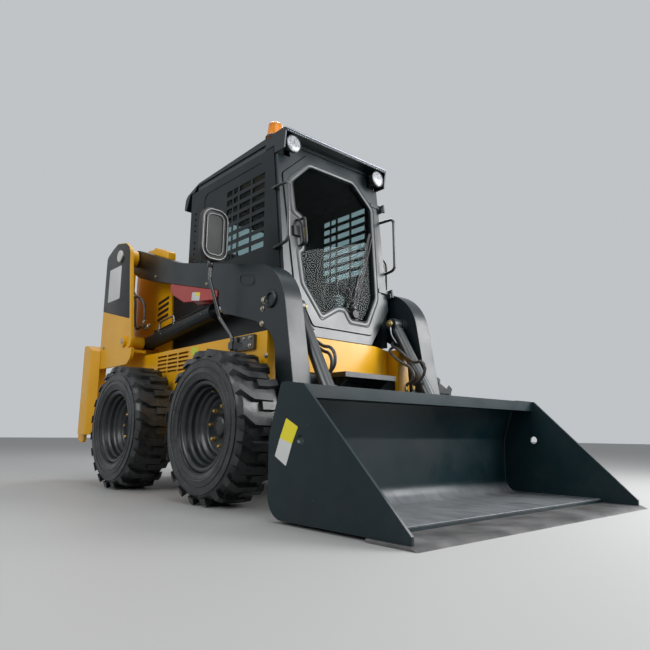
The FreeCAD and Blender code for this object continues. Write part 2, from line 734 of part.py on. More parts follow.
def grown(half_outline, amount):
    """The same outline moved outward by an amount, corner by corner."""
    full = symmetric(half_outline)
    count = len(full)
    moved = []
    for index in range(count):
        before, here, after = full[index - 1], full[index], full[(index + 1) % count]
        ax, az = here[0] - before[0], here[1] - before[1]
        bx, bz = after[0] - here[0], after[1] - here[1]
        al, bl = math.hypot(ax, az), math.hypot(bx, bz)
        nax, naz = -az / al, ax / al
        nbx, nbz = -bz / bl, bx / bl
        scale = amount / (1 + nax * nbx + naz * nbz)
        point = (here[0] + (nax + nbx) * scale, here[1] + (naz + nbz) * scale)
        radius = here[2] + amount if len(here) > 2 else 0
        moved.append(point + (max(radius, 0),))
    return moved


def cab_frame():
    """Front hoop, rear hoop, top rails, sill rails and the panel below the door."""
    hoop = front_prism(symmetric(hoop_half), front_foot_x - 60, front_foot_x)
    hoop = hoop.cut(front_prism(grown(door_half, door_gap), front_foot_x - 70, front_foot_x + 5))
    for y in (-cab_half_y - 1, cab_half_y - 92):
        hoop = hoop.cut(block(front_foot_x - 36, front_foot_x + 5, y, y + 93, lamp_ledge_z, hoop_top_z + 5))
    leaf = (front_foot_x - 15, door_hinge_x, cab_half_y - 1, door_hinge_y - 4)
    hoop = leaning(join(hoop, *hinge_pieces((1235, 1850), leaf)))
    rear = block(cab_rear_x, cab_rear_x + 50, -cab_half_y, cab_half_y, sill_top_z + 1, cab_tail_z)
    rear = rear.cut(block(cab_rear_x - 5, cab_rear_x + 55, -cab_half_y + 50, cab_half_y - 50,
                          sill_top_z + 60, cab_tail_z - 50))
    parts = [hoop, rear]
    for side in (-1, 1):
        low, high = sorted((side * cab_half_y, side * (cab_half_y - 45)))
        parts.append(block(cab_rear_x + 80, 530, low, high, cab_tail_z - 20, roof_under_z - seat_gap))
        parts.append(block(cab_rear_x + 1, 530, low, high, cab_tail_z - 45, cab_tail_z - 1))
        parts.append(block(cab_rear_x + 1, 600, low, high, 1150, 1200))
        parts.append(block(cab_rear_x + 1, 600, low, high, sill_top_z + 15, sill_top_z + 60))
        parts.append(block(600, 640, low, high, sill_top_z + 15, 1180))
        low, high = sorted((side * (cab_half_y - 40), side * (arm_inner_y - 5)))
        for x in (-360, 380):
            parts.append(block(x, x + 90, low, high, sill_top_z + seat_gap, sill_top_z + 16))
    return join(*parts)


guard_columns = [(10, 75), (90, 140), (160, 285), (305, 440)]  # X limits of each column of slots
guard_rows = 8
guard_low_z, guard_high_z = 1450.0, 1950.0


def cab_side():
    """Right-hand side plate: pressed window field with guard slots, and a tail that meets the tower."""
    low_z = sill_top_z + 17
    tail_x = tower_front_x + 105
    outline = [(tail_x, low_z), (640, low_z), (628, 1150), (520, 2060), (cab_rear_x + 10, 2060),
               (cab_rear_x + 10, hood_hinge_z - 20), (tail_x - 38, 1400)]
    low = cab_half_y + seat_gap
    high = low + side_plate
    body = side_prism(outline, low, high)
    field = side_prism([(-286, 1375, 50), (478, 1375, 50), (424, 2000, 50), (-286, 2000, 50)],
                       high - 3, high + 1)
    body = body.cut(field)
    pitch = (guard_high_z - guard_low_z) / guard_rows
    holes = []
    for x_low, x_high in guard_columns:
        for row in range(guard_rows):
            z = guard_low_z + row * pitch
            holes.append(block(x_low, x_high, low - 5, high + 5, z, z + pitch * 0.6))
    holes += [disc_y(-400, 1545 + row * 43, 9, low - 5, high + 5) for row in range(9)]
    return flip(body.cut(holes))


def cab_rear_panel():
    body = block(cab_rear_x - side_plate - seat_gap, cab_rear_x - seat_gap, -cab_half_y, cab_half_y,
                 sill_top_z + 1, 2060)
    wide = cab_half_y - 96
    window = front_prism([(-wide, 1510, 60), (wide, 1510, 60), (wide, 1980, 60), (-wide, 1980, 60)],
                         cab_rear_x - 20, cab_rear_x + 5)
    knuckles = []
    for y in (-240, 190.3):
        knuckles.append(disc_y(hood_hinge_x, hood_hinge_z, 9, y, y + 49.7))
        knuckles.append(block(hood_hinge_x, cab_rear_x - 4, y, y + 49.7, hood_hinge_z - 9,
                              hood_hinge_z - 2))
    return join(body.cut(window), *knuckles)


def cab_glass():
    """Rear window and the two side panes behind their guards."""
    wide = cab_half_y - 66
    rear = front_prism([(-wide, 1450, 60), (wide, 1450, 60), (wide, 2010, 60), (-wide, 2010, 60)],
                       cab_rear_x, cab_rear_x + glass_thick)
    side = side_prism([(-400, 1440, 50), (500, 1440, 50), (455, 1985, 50), (-400, 1985, 50)],
                      cab_half_y - glass_thick, cab_half_y)
    return side, rear


def cab_roof():
    """Roof panel with a front visor, a cheek each side of it and a tail that slopes down behind."""
    top = roof_top_z
    under = top - visor_thick
    outline = [(roof_front_x, under), (roof_front_x, top - 6, 4), (622, top, 10), (-380, 2118, 120),
               (-560, 2060, 60), (-575, 1960, 20), (-545, 1955, 10), (-494, cab_tail_z + 0.6),
               (cab_rear_x + 46, cab_tail_z + 0.6), (cab_rear_x + 78, roof_under_z), (552, roof_under_z),
               (552, under)]
    low = cab_half_y + seat_gap
    wide = cab_half_y + side_plate + 2
    roof = side_prism(outline, -wide, wide)
    cheek = side_prism([(roof_front_x, under + 1), (roof_front_x - 14, 2014, 10), (534, 2014),
                        (527, 2064), (440, 2064), (440, under + 1)], low, wide)
    return join(roof, cheek, flip(cheek))


def cab_floor():
    """Floor pan, foot well and the seat box behind it."""
    wide = case_inner_y - seat_gap
    flat = cab_half_y - 194
    pan = top_prism([(98, -wide), (98, wide), (598, wide), (698, flat), (698, -flat), (598, -wide)],
                    780, 792)
    box_wide = cab_half_y - 46
    box = side_prism([(110, 780), (110, seat_box_z), (cab_rear_x + 50.3, seat_box_z),
                      (cab_rear_x + 50.3, seat_box_z - 12), (98, seat_box_z - 12), (98, 780)],
                     -box_wide, box_wide)
    return join(pan, box)


def door_frame():
    outline = symmetric(door_half)
    face_x = front_foot_x + door_proud
    body = front_prism(outline, face_x - door_thick, face_x)
    body = body.cut(front_prism(door_window(), front_foot_x - 60, front_foot_x + 40))
    z_values = (1262.3, 1877.3)
    straps = hinge_pieces(z_values, (face_x - 1, face_x + 7, door_hinge_y - 102, door_hinge_y))
    risers = hinge_pieces(z_values, (face_x - 1, door_hinge_x, door_hinge_y - 6, door_hinge_y + 6))
    return leaning(join(body, *straps, *risers))


def door_window():
    """Glass opening: a notch beside the handle at the right, and cut corners."""
    low, side, high = cab_half_y - 226, cab_half_y - 126, cab_half_y - 91
    top = cab_half_y - 241
    return [(35 - low, 1040, 40), (15 - side, 1215, 40), (-side, 1395, 30), (32 - side, 1420, 20),
            (32 - side, 1640, 20), (13 - high, 1665, 30), (-high, 1850, 40), (-top, 2000, 40),
            (top, 2000, 40), (high, 1850, 40), (side, 1215, 40), (low, 1040, 40), (70, 1040, 40),
            (30, 1110, 40), (-40, 1110, 40)]


def door_glass():
    return leaning(front_prism(door_window(), front_foot_x - 16, front_foot_x - 10))


def door_fittings():
    """Outside handle, latch block and the wiper motor cover."""
    x = front_foot_x + door_proud + seat_gap
    y = 136 - cab_half_y
    handle = bent_tube([V(x, y, 1445), V(x + 45, y, 1445), V(x + 45, y, 1610), V(x, y, 1610)], 8, 16)
    latch = block(x, x + 16, y - 62, y - 10, 1495, 1560)
    hub = Part.makeCylinder(26, 38, V(front_foot_x - 10 + seat_gap, 95, 1075), V(1, 0, 0))
    return leaning(Part.makeCompound([handle, latch, hub]))


# Seat and controls
def seat():
    low = seat_box_z + seat_gap
    cushion = side_prism([(-240, low, 30), (105, low, 40), (130, low + 125, 50), (-235, low + 105, 30)],
                         -235, 235)
    back = side_prism([(-330, low, 40), (-242, low, 20), (-238, 1150, 60), (-290, 1640, 45),
                       (-392, 1640, 45), (-345, 1150, 60)], -220, 220)
    rests = []
    for side in (-1, 1):
        inner, outer = sorted((side * 245, side * 300))
        pad = side_prism([(-310, 1290, 20), (10, 1290, 18), (10, 1330, 18), (-310, 1340, 20)], inner, outer)
        start, end = sorted((side * (220 + seat_gap), side * 246))
        rests.append(join(pad, disc_y(-285, 1315, 18, start, end)))
    return cushion, back, rests


def levers():
    pieces = []
    for side in (-1, 1):
        y = side * 275
        console = block(-20, 230, y - 35, y + 35, seat_box_z + seat_gap, 1170)
        stick = join(console, rod_between(V(150, y, 1160), V(175, y, 1330), 9),
                     rod_between(V(172, y, 1310), V(190, y, 1430), 22))
        pieces.append(stick)
    return pieces


# Rear: hood, door, engine, cooler, guards and hooks
hood_outline = [(-508, 1420), (-508, 1480, 30), (-1270, 1420, 90), (-1330, 1340, 60), (-1330, 1320),
                (-1320, 1320), (-1318, 1336, 50), (-1266, 1408, 80), (-520, 1468, 20), (-520, 1420)]


def engine_hood():
    wide = tower_inner_y - 24
    body = side_prism(hood_outline, -wide, wide)
    cheeks = [side_prism([(-508, 1420), (-508, 1480, 30), (-1270, 1420, 90), (-1330, 1340, 60),
                          (-1330, 1320), (-1200, 1320), (-1180, 1390), (-520, 1420)], low, low + 8)
              for low in (-wide, wide - 8)]
    knuckles = []
    for y in (-290, 240.3):
        knuckles.append(disc_y(hood_hinge_x, hood_hinge_z, 9, y, y + 49.7))
        knuckles.append(block(-530, hood_hinge_x, y, y + 49.7, hood_hinge_z - 9, hood_hinge_z - 2))
    return join(body, *cheeks, *knuckles)


def rear_door():
    wide = tower_inner_y - 22
    outline = [(-wide, 470, 30), (wide, 470, 30), (wide, 1310, 30), (-wide, 1310, 30)]
    body = front_prism(outline, -1352, -1312)
    body = body.cut(front_prism([(-wide + 30, 500, 20), (wide - 30, 500, 20), (wide - 30, 1280, 20),
                                 (-wide + 30, 1280, 20)], -1342, -1300))
    slots = []
    across = (2 * wide - 150 + 16) / 3
    for row in range(12):
        z = 640 + row * 46
        for column in range(3):
            y = 75 - wide + column * across
            slots.append(block(-1360, -1330, y, y + across - 16, z, z + 26))
    return join(body.cut(slots), *door_knuckles((740.3, 1080.3), rear_hinge_x - 5, wide - 4))


def engine_block():
    feet = [block(x, x + 60, y, y + 60, belly_z + plate + seat_gap, 430)
            for x in (-1060, -680) for y in (-210, 150)]
    return join(block(-1120, -560, -230, 230, 420, 1060), *feet)


def cooler():
    wide = tower_inner_y - 16 - seat_gap
    return block(-1270, -1190, -wide, wide, 500, 1260)


def rear_frame():
    """Bumper beam under the rear door, joined to the guards at both corners."""
    wide = guard_inner_y - seat_gap
    beam = block(-1420, chassis_rear_x - seat_gap, -wide, wide, 330, 460)
    beam = beam.makeChamfer(14, [e for e in beam.Edges if e.Length > 1000])
    return beam


def rear_guard():
    """Right-hand corner guard behind the rear wheel, with a slanting front face."""
    front = tower_rear_x - seat_gap
    guard_outer_y = tower_outer_y + 62
    section = [(front, guard_inner_y), (front, tower_outer_y + 0.6), (front + 22, tower_outer_y + 1),
               (front - 22, guard_outer_y, 20), (guard_rear_x, guard_outer_y, 30),
               (guard_rear_x, guard_inner_y)]
    post = top_prism(section, 330, 1010)
    top_cut = side_prism([(-1260, 1020), (-1260, 940), (-1440, 1020)], guard_inner_y - 5, guard_outer_y + 5)
    post = post.cut(top_cut)
    hook = side_prism([(guard_rear_x + 30, 300), (guard_rear_x + 30, 470), (hook_rear_x + 10, 470, 10),
                       (hook_rear_x, 440, 8), (hook_rear_x + 20, 425, 8), (hook_rear_x + 68, 410, 20),
                       (hook_rear_x + 68, 350, 20), (hook_rear_x + 12, 330, 8), (hook_rear_x + 4, 300, 8),
                       (hook_rear_x + 50, 270, 20), (guard_rear_x + 10, 270, 20)],
                      tower_outer_y - 10, tower_outer_y + 15)
    return flip(join(post, hook))


# Fittings
lamp_x = 628.0
lamp_z = 2062.0
lamp_radius = 54.0
lamp_section = [  # distance along, radius
    (-62, 0), (-62, 24), (-46, 34), (-16, lamp_radius - 4), (-14, lamp_radius), (0, lamp_radius),
    (0, lamp_radius - 7), (-8, lamp_radius - 9), (-14, 30), (-18, 0),
]


def work_lamps():
    """Two front lamps in the corners under the visor, each a dished bowl on a bracket."""
    lamps = []
    for side in (-1, 1):
        y = side * (cab_half_y - 62)
        bowl = turned_along(V(lamp_x, y, lamp_z), V(1, 0, 0), lamp_section)
        stem = block(lamp_x - 50, lamp_x - 20, y - 10, y + 10,
                     lamp_z + 20, roof_top_z - visor_thick - seat_gap)
        lamps.append(join(bowl, stem))
    return Part.makeCompound(lamps)


beacon_x = 465.0
beacon_section = [  # height, radius
    (0, 0), (0, 54), (30, 54), (32, 50), (104, 42), (115, 30), (115, 0),
]


def beacon():
    """Amber dome on a round base at the roof's right edge."""
    foot = V(beacon_x, 41 - cab_half_y, roof_top_z - 10)
    return turned_along(foot, V(0, 0, 1), beacon_section).cut(cab_roof())


mirror_low_z, mirror_high_z = 1333.0, 1650.0


def mirror_piece():
    """Right-hand mirror: head, bent stalk and the bracket on the sill."""
    edge = case_outer_y
    stalk = bent_tube([V(440, -edge - 42, 800), V(440, -edge - 42, 880), V(330, -edge - 60, 1000),
                       V(282, -edge - 110, 1230), V(282, -edge - 110, mirror_high_z - 90)], 11, 40)
    head = front_prism([(-edge - 205, mirror_low_z, 70), (-edge - 25, mirror_low_z, 70),
                        (-edge - 25, mirror_high_z, 70), (-edge - 205, mirror_high_z, 70)],
                       293 + seat_gap, 325)
    clamp_wide = 20 - seat_gap
    clamp = block(400, 620, -edge - 20, -edge - seat_gap, 800, 880)
    clamp = clamp.makeFillet(8, [e for e in clamp.Edges if abs(e.Length - clamp_wide) < 1])
    foot = block(420, 460, -edge - 54, -edge - 19, 810, 850)
    return head, join(stalk, clamp, foot)


def grab_handle():
    y = -(cab_half_y + seat_gap + side_plate + 10.2)
    return bent_tube([V(540, y, 1784), V(695, y, 1778), V(702, y, 1424), V(570, y, 1404)], 9.6, 34)


def export(name, shape):
    placed = shape.copy()
    placed.translate(V(-mid_x, 0, 0))
    placed.exportStep("parts/" + name + ".step")
    solids = placed.Solids
    total = sum(s.Volume for s in solids) / 1e9
    print(name, len(solids), "solids, valid", placed.isValid(), "volume m3 %.4f" % total)


def main():
    os.makedirs("parts", exist_ok=True)
    print("origin shift", -mid_x)
    wheel = wheel_pieces()
    for end, x in axle_x.items():
        for side, sign in (("right", -1), ("left", 1)):
            for kind in ("tyre", "rim"):
                piece = wheel[kind] if sign > 0 else flip(wheel[kind])
                piece = piece.copy()
                piece.translate(V(x, sign * wheel_plane_y, tyre_radius))
                export(kind + "_" + end + "_" + side, piece)
    paired = {"side_case": side_case(), "tower_outer": tower_outer(), "tower_inner": tower_inner(),
              "lift_arm": lift_arm(), "cab_side": cab_side()}
    for name, right in paired.items():
        left = flip(right)
        if name == "tower_inner":
            left = join(left, *door_knuckles((700, 1040), chassis_rear_x, tower_inner_y - 6))
        export(name + "_right", right)
        export(name + "_left", left)
    export("chassis_tub", chassis_tub())
    export("front_cross", front_cross())
    export("entry_step", entry_step())
    export("pivot_pins", both_sides(tower_pins()))
    export("arm_cross", arm_cross())
    export("arm_hoses", arm_hoses())
    export("tower_hoses", both_sides(tower_hoses()))
    export("arm_stops", arm_stops())
    export("arm_lock", arm_lock())
    lift_barrel, lift_rod = lift_cylinder()
    export("lift_barrels", both_sides(lift_barrel))
    export("lift_rods", both_sides(lift_rod))
    tilt_barrel, tilt_rod = tilt_cylinder()
    export("tilt_barrels", both_sides(tilt_barrel))
    export("tilt_rods", both_sides(tilt_rod))
    export("quick_hitch", quick_hitch())
    export("bucket_shell", bucket_shell())
    export("bucket_edge", bucket_edge())
    export("cab_frame", cab_frame())
    export("cab_rear", cab_rear_panel())
    side_glass, rear_glass = cab_glass()
    export("cab_glass", Part.makeCompound([side_glass, flip(side_glass), rear_glass]))
    export("cab_roof", cab_roof())
    export("cab_floor", cab_floor())
    export("door_frame", door_frame())
    export("door_glass", door_glass())
    export("door_fittings", door_fittings())
    cushion, back, rests = seat()
    export("seat", Part.makeCompound([cushion, back] + rests))
    export("levers", Part.makeCompound(levers()))
    export("engine_hood", engine_hood())
    export("rear_door", rear_door())
    export("engine_block", engine_block())
    export("cooler", cooler())
    export("rear_frame", rear_frame())
    export("rear_guards", both_sides(rear_guard()))
    export("work_lamps", work_lamps())
    export("beacon", beacon())
    head, stalk = mirror_piece()
    export("mirrors", both_sides(head))
    export("mirror_stalks", both_sides(stalk))
    export("grab_handles", both_sides(grab_handle()))


main()
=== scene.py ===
import bpy
import json
import math
from mathutils import Matrix, Vector


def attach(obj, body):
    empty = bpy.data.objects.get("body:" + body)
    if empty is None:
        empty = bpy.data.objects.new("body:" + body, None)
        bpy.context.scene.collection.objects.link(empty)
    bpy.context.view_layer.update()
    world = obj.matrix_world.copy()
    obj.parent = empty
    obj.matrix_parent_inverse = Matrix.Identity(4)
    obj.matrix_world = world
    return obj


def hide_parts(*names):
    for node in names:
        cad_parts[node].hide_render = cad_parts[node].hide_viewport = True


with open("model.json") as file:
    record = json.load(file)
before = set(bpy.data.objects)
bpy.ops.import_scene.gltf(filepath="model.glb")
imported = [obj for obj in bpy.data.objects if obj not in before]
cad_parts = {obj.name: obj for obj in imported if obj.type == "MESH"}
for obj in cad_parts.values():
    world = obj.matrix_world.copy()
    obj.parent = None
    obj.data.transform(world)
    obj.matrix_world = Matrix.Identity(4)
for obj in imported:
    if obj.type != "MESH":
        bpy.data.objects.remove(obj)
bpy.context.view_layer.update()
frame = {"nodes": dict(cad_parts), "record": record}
nodes = frame["nodes"]
bodyOf = {n: body for body, names in frame["record"]["behaviour"]["bodies"].items() for n in names}
bothSides = ((-1, "Right"), (1, "Left"))
print("frame loaded")


def clearSelection():
    if bpy.context.object and bpy.context.object.mode != "OBJECT":
        bpy.ops.object.mode_set(mode="OBJECT")
    bpy.ops.object.select_all(action="DESELECT")


def selectWhole():
    bpy.ops.mesh.select_all(action="SELECT")


def makeActive(piece):
    clearSelection()
    piece.select_set(True)
    bpy.context.view_layer.objects.active = piece
    return piece


def shaderNode(tree, kind, values=None):
    node = tree.nodes.new("ShaderNode" + kind)
    for socket, value in (values or {}).items():
        node.inputs[socket].default_value = value
    return node


# Camera
camera = {
    "place": (3.007, -2.361, 0.356),
    "azimuth": 48.6,
    "pitch": 10.53,
    "roll": 0.62,
    "lens": 32.37,
    "sensor": 36.0,
    "farEnd": 200,
}


def placeCamera():
    az, pitch, roll = (math.radians(camera[k]) for k in ("azimuth", "pitch", "roll"))
    ahead = Vector((-math.sin(az) * math.cos(pitch), math.cos(az) * math.cos(pitch), math.sin(pitch)))
    across = Vector((math.cos(az), math.sin(az), 0))
    above = across.cross(ahead)
    across = across * math.cos(roll) + above * math.sin(roll)
    above = across.cross(ahead)
    turn = Matrix((across, above, -ahead)).transposed().to_4x4()
    clearSelection()
    bpy.ops.object.camera_add()
    view = bpy.context.object
    view.matrix_world = Matrix.Translation(Vector(camera["place"])) @ turn
    view.data.lens = camera["lens"]
    view.data.sensor_width = camera["sensor"]
    view.data.clip_end = camera["farEnd"]
    bpy.context.scene.camera = view


placeCamera()

# Studio: floor, backdrop light and lamps
studio = {
    "floorSize": 60,
    "floorColour": (0.40, 0.40, 0.395, 1),
    "floorRough": 0.55,
    "backColour": (0.53, 0.55, 0.57, 1),
    "worldColour": (0.80, 0.83, 0.87, 1),
    "worldLight": 0.36,
    "lamps": [  # place, aim, width, height, watts
        ((3.35, 2.45, 2.25), (0.50, -0.10, 0.95), 3.3, 2.3, 205),
        ((4.4, -1.2, 4.2), (0.6, 0.0, 0.7), 3.2, 3.2, 80),
        ((0.3, -5.2, 3.4), (0.2, 0.0, 0.8), 3.0, 3.0, 105),
        ((-3.2, 3.2, 6.4), (0.0, 0.0, 1.0), 3.0, 3.0, 150),
        ((0.2, 0.2, 5.6), (0.0, 0.0, 0.0), 4.0, 4.0, 85),
    ],
}


def buildWorld():
    world = bpy.data.worlds.new("studioWorld")
    bpy.context.scene.world = world
    world.use_nodes = True
    tree = world.node_tree
    tree.nodes.clear()
    out = shaderNode(tree, "OutputWorld")
    light = shaderNode(tree, "Background", {"Color": studio["worldColour"], "Strength": studio["worldLight"]})
    back = shaderNode(tree, "Background", {"Color": studio["backColour"]})
    path = shaderNode(tree, "LightPath")
    mix = shaderNode(tree, "MixShader")
    seen = path.outputs["Is Camera Ray"]
    for kind in ("Is Glossy Ray", "Is Transmission Ray"):
        either = shaderNode(tree, "Math")
        either.operation = "MAXIMUM"
        tree.links.new(seen, either.inputs[0])
        tree.links.new(path.outputs[kind], either.inputs[1])
        seen = either.outputs[0]
    tree.links.new(seen, mix.inputs[0])
    tree.links.new(light.outputs[0], mix.inputs[1])
    tree.links.new(back.outputs[0], mix.inputs[2])
    tree.links.new(mix.outputs[0], out.inputs[0])


def buildFloor():
    clearSelection()
    bpy.ops.mesh.primitive_plane_add(size=studio["floorSize"], location=(0, 0, 0))
    floor = bpy.context.object
    floor.name = "studioFloor"
    stuff = bpy.data.materials.new("floorPaint")
    stuff.use_nodes = True
    shade = stuff.node_tree.nodes["Principled BSDF"]
    shade.inputs["Base Color"].default_value = studio["floorColour"]
    shade.inputs["Roughness"].default_value = studio["floorRough"]
    floor.data.materials.append(stuff)


def hangLamps():
    for number, (place, aim, width, height, watts) in enumerate(studio["lamps"]):
        clearSelection()
        bpy.ops.object.light_add(type="AREA", location=place)
        lamp = bpy.context.object
        lamp.name = "lamp%d" % number
        lamp.data.shape = "RECTANGLE"
        lamp.data.size = width
        lamp.data.size_y = height
        lamp.data.energy = watts
        way = Vector(aim) - Vector(place)
        lamp.rotation_euler = way.to_track_quat("-Z", "Y").to_euler()


bpy.context.scene.view_settings.view_transform = "Standard"
buildWorld()
buildFloor()
hangLamps()
print("camera and studio ready")


# Materials: every pattern reads Object coordinates
def newMaterial(name):
    stuff = bpy.data.materials.new(name)
    stuff.use_nodes = True
    tree = stuff.node_tree
    return stuff, tree, tree.nodes["Principled BSDF"]


def spot(tree, scale=(1, 1, 1)):
    mapping = shaderNode(tree, "Mapping", {"Scale": scale})
    tree.links.new(shaderNode(tree, "TexCoord").outputs["Object"], mapping.inputs["Vector"])
    return mapping.outputs["Vector"]


def noise(tree, scale, detail, rough=0.55, stretch=(1, 1, 1)):
    node = shaderNode(tree, "TexNoise", {"Scale": scale, "Detail": detail, "Roughness": rough})
    tree.links.new(spot(tree, stretch), node.inputs["Vector"])
    return node.outputs["Fac"]


def spread(tree, value, low, high, toLow=0.0, toHigh=1.0):
    ends = {"From Min": low, "From Max": high, "To Min": toLow, "To Max": toHigh}
    node = shaderNode(tree, "MapRange", ends)
    tree.links.new(value, node.inputs["Value"])
    return node.outputs["Result"]


def times(tree, first, second):
    node = shaderNode(tree, "Math")
    node.operation = "MULTIPLY"
    for index, value in enumerate((first, second)):
        if isinstance(value, (int, float)):
            node.inputs[index].default_value = value
        else:
            tree.links.new(value, node.inputs[index])
    return node.outputs[0]


def blendColour(tree, factor, first, second):
    node = shaderNode(tree, "Mix")
    node.data_type = "RGBA"
    tree.links.new(factor, node.inputs[0])
    for index, value in ((6, first), (7, second)):
        if isinstance(value, tuple):
            node.inputs[index].default_value = value + (1,)
        else:
            tree.links.new(value, node.inputs[index])
    return node.outputs[2]


def relief(tree, shade, height, strength, distance):
    node = shaderNode(tree, "Bump", {"Strength": strength, "Distance": distance})
    tree.links.new(height, node.inputs["Height"])
    tree.links.new(node.outputs["Normal"], shade.inputs["Normal"])


def upward(tree, source):  # "Object" gives the height above the floor, "Normal" how far a face looks up
    parts = shaderNode(tree, "SeparateXYZ")
    tree.links.new(shaderNode(tree, "TexCoord").outputs[source], parts.inputs[0])
    return parts.outputs["Z"]


def floorWearAndReflection(tree):  # the low faces that look up: worn in streaks, and lighter blue-grey as a painted reflection
    low = spread(tree, upward(tree, "Object"), 0.06, 0.17, 1.0, 0.0)
    facesUp = times(tree, low, spread(tree, upward(tree, "Normal"), 0.25, 0.8))
    return times(tree, facesUp, spread(tree, noise(tree, 6.0, 8.0, 0.7, (1, 3, 1)), 0.30, 0.62, 0.45, 1.0))


# the dust and scratch colours are the paint's own; the blue-grey floor colour is wear together with a painted
# reflection
grimeAndReflection = {"dust": (0.30, 0.27, 0.23), "scratch": (0.35, 0.36, 0.37), "rubbedAndReflection": (0.205, 0.212, 0.222)}


def paint(name, colour, share, rough, dust, more):
    stuff, tree, shade = newMaterial(name)
    clouds = spread(tree, noise(tree, more.get("cloud", 3.0), 5.0), 0.35, 0.65)
    body = blendColour(tree, clouds, colour, tuple(c * share for c in colour))
    low = spread(tree, upward(tree, "Object"), 0.0, more.get("dustTop", 1.1), 1.0, 0.0)
    grit = spread(tree, noise(tree, 9.0, 8.0, 0.7), 0.42, 0.72)
    body = blendColour(tree, times(tree, times(tree, low, grit), dust), body, grimeAndReflection["dust"])
    if "scratch" in more:
        fine = spread(tree, noise(tree, 7.0, 6.0, 0.75, more["scratchWay"]), 0.66, 0.72)
        body = blendColour(tree, times(tree, fine, more["scratch"]), body, grimeAndReflection["scratch"])
    # painted reflection together with wear: the bucket's low faces that look up turn lighter blue-grey
    if "wearAndReflection" in more:
        body = blendColour(tree, times(tree, floorWearAndReflection(tree), more["wearAndReflection"]), body, grimeAndReflection["rubbedAndReflection"])
    tree.links.new(body, shade.inputs["Base Color"])
    smear = spread(tree, noise(tree, 5.0, 6.0), 0.3, 0.7, rough - 0.06, rough + 0.1)
    tree.links.new(smear, shade.inputs["Roughness"])
    shade.inputs["Metallic"].default_value = more.get("metal", 0.0)
    shade.inputs["Specular IOR Level"].default_value = more.get("shine", 0.5)
    shade.inputs["Coat Weight"].default_value = more.get("coat", 0.0)
    shade.inputs["Coat Roughness"].default_value = 0.12
    relief(tree, shade, noise(tree, more.get("peel", 240.0), 2.0), more.get("peelDepth", 0.12), 0.0006)
    return stuff


paints = {  # colour, its share in the darker clouds, roughness, dust, what else it has
    "amberPaint": ((0.80, 0.405, 0.004), 0.88, 0.31, 0.08, {"shine": 0.45, "coat": 0.06}),
    "blackPaint": ((0.0050, 0.0100, 0.0125), 0.7, 0.38, 0.04, {"shine": 0.28}),
    "armPaint": ((0.0025, 0.0095, 0.0130), 0.75, 0.33, 0.03, {"shine": 0.55}),
    "framePaint": ((0.0080, 0.0165, 0.0205), 0.8, 0.34, 0.02, {"shine": 0.80}),
    # its floor wear also carries a painted reflection: lighter blue-grey on the low faces that look up
    "bucketPaint": ((0.0022, 0.0160, 0.0215), 0.65, 0.37, 0.03, {
        "shine": 0.33, "scratch": 0.22, "scratchWay": (2, 24, 3), "cloud": 2.2, "wearAndReflection": 0.85}),
    "redPaint": ((0.42, 0.020, 0.014), 0.8, 0.33, 0.1, {"coat": 0.3}),
    "rimPaint": ((0.008, 0.0125, 0.0150), 0.8, 0.32, 0.05, {"coat": 0.15, "dustTop": 0.9}),
    "wornSteel": ((0.20, 0.20, 0.205), 0.45, 0.42, 0.3, {
        "metal": 0.85, "cloud": 7.0, "scratch": 0.5, "scratchWay": (2, 60, 3), "peelDepth": 0.3, "peel": 90.0}),
    "rodChrome": ((0.66, 0.67, 0.69), 0.92, 0.12, 0.05, {"metal": 1.0}),
    "zincPlate": ((0.55, 0.50, 0.38), 0.7, 0.3, 0.1, {"metal": 0.95, "cloud": 20.0}),
    "brassPlate": ((0.62, 0.44, 0.16), 0.7, 0.32, 0.1, {"metal": 0.95, "cloud": 20.0}),
    "castGrey": ((0.10, 0.10, 0.105), 0.6, 0.6, 0.3, {"peelDepth": 0.5, "peel": 120.0}),
    "darkPlastic": ((0.020, 0.020, 0.021), 0.8, 0.45, 0.1, {"peel": 420.0, "peelDepth": 0.3}),
    "whitePlate": ((0.66, 0.67, 0.66), 0.92, 0.4, 0.12, {}),
    "yellowPlate": ((0.80, 0.70, 0.02), 0.93, 0.4, 0.1, {}),
    "limePlate": ((0.55, 0.62, 0.03), 0.93, 0.4, 0.1, {}),
    "grillePaint": ((0.010, 0.011, 0.012), 0.7, 0.5, 0.1, {}),
    "glossPlastic": ((0.016, 0.018, 0.020), 0.85, 0.18, 0.03, {"coat": 0.6}),
    "lampRed": ((0.45, 0.012, 0.010), 0.7, 0.16, 0.05, {"coat": 0.6, "peel": 90.0, "peelDepth": 0.6}),
    "panelBlack": ((0.012, 0.013, 0.015), 0.8, 0.38, 0.1, {}),
    "bandPaint": ((0.060, 0.072, 0.080), 0.85, 0.36, 0.02, {"shine": 0.8}),
    "brightEdge": ((0.34, 0.37, 0.41), 0.8, 0.25, 0.02, {"metal": 0.3}),
    "satinSteel": ((0.36, 0.37, 0.39), 0.7, 0.3, 0.05, {"metal": 0.9}),
    "wiperSteel": ((0.090, 0.095, 0.100), 0.7, 0.26, 0.02, {"metal": 0.6}),
    "cylinderPaint": ((0.014, 0.020, 0.024), 0.75, 0.32, 0.04, {"shine": 0.9, "coat": 0.2}),
    "tagYellow": ((0.62, 0.47, 0.16), 0.85, 0.45, 0.05, {}),
    "lampLens": ((0.50, 0.53, 0.56), 0.30, 0.16, 0.0, {
        "cloud": 78.0, "coat": 0.5, "peel": 75.0, "peelDepth": 1.0}),
    "mirrorGlass": ((0.80, 0.82, 0.84), 0.97, 0.09, 0.02, {"metal": 1.0, "peelDepth": 0.0}),
}
stuffs = {name: paint(name, *look) for name, look in paints.items()}


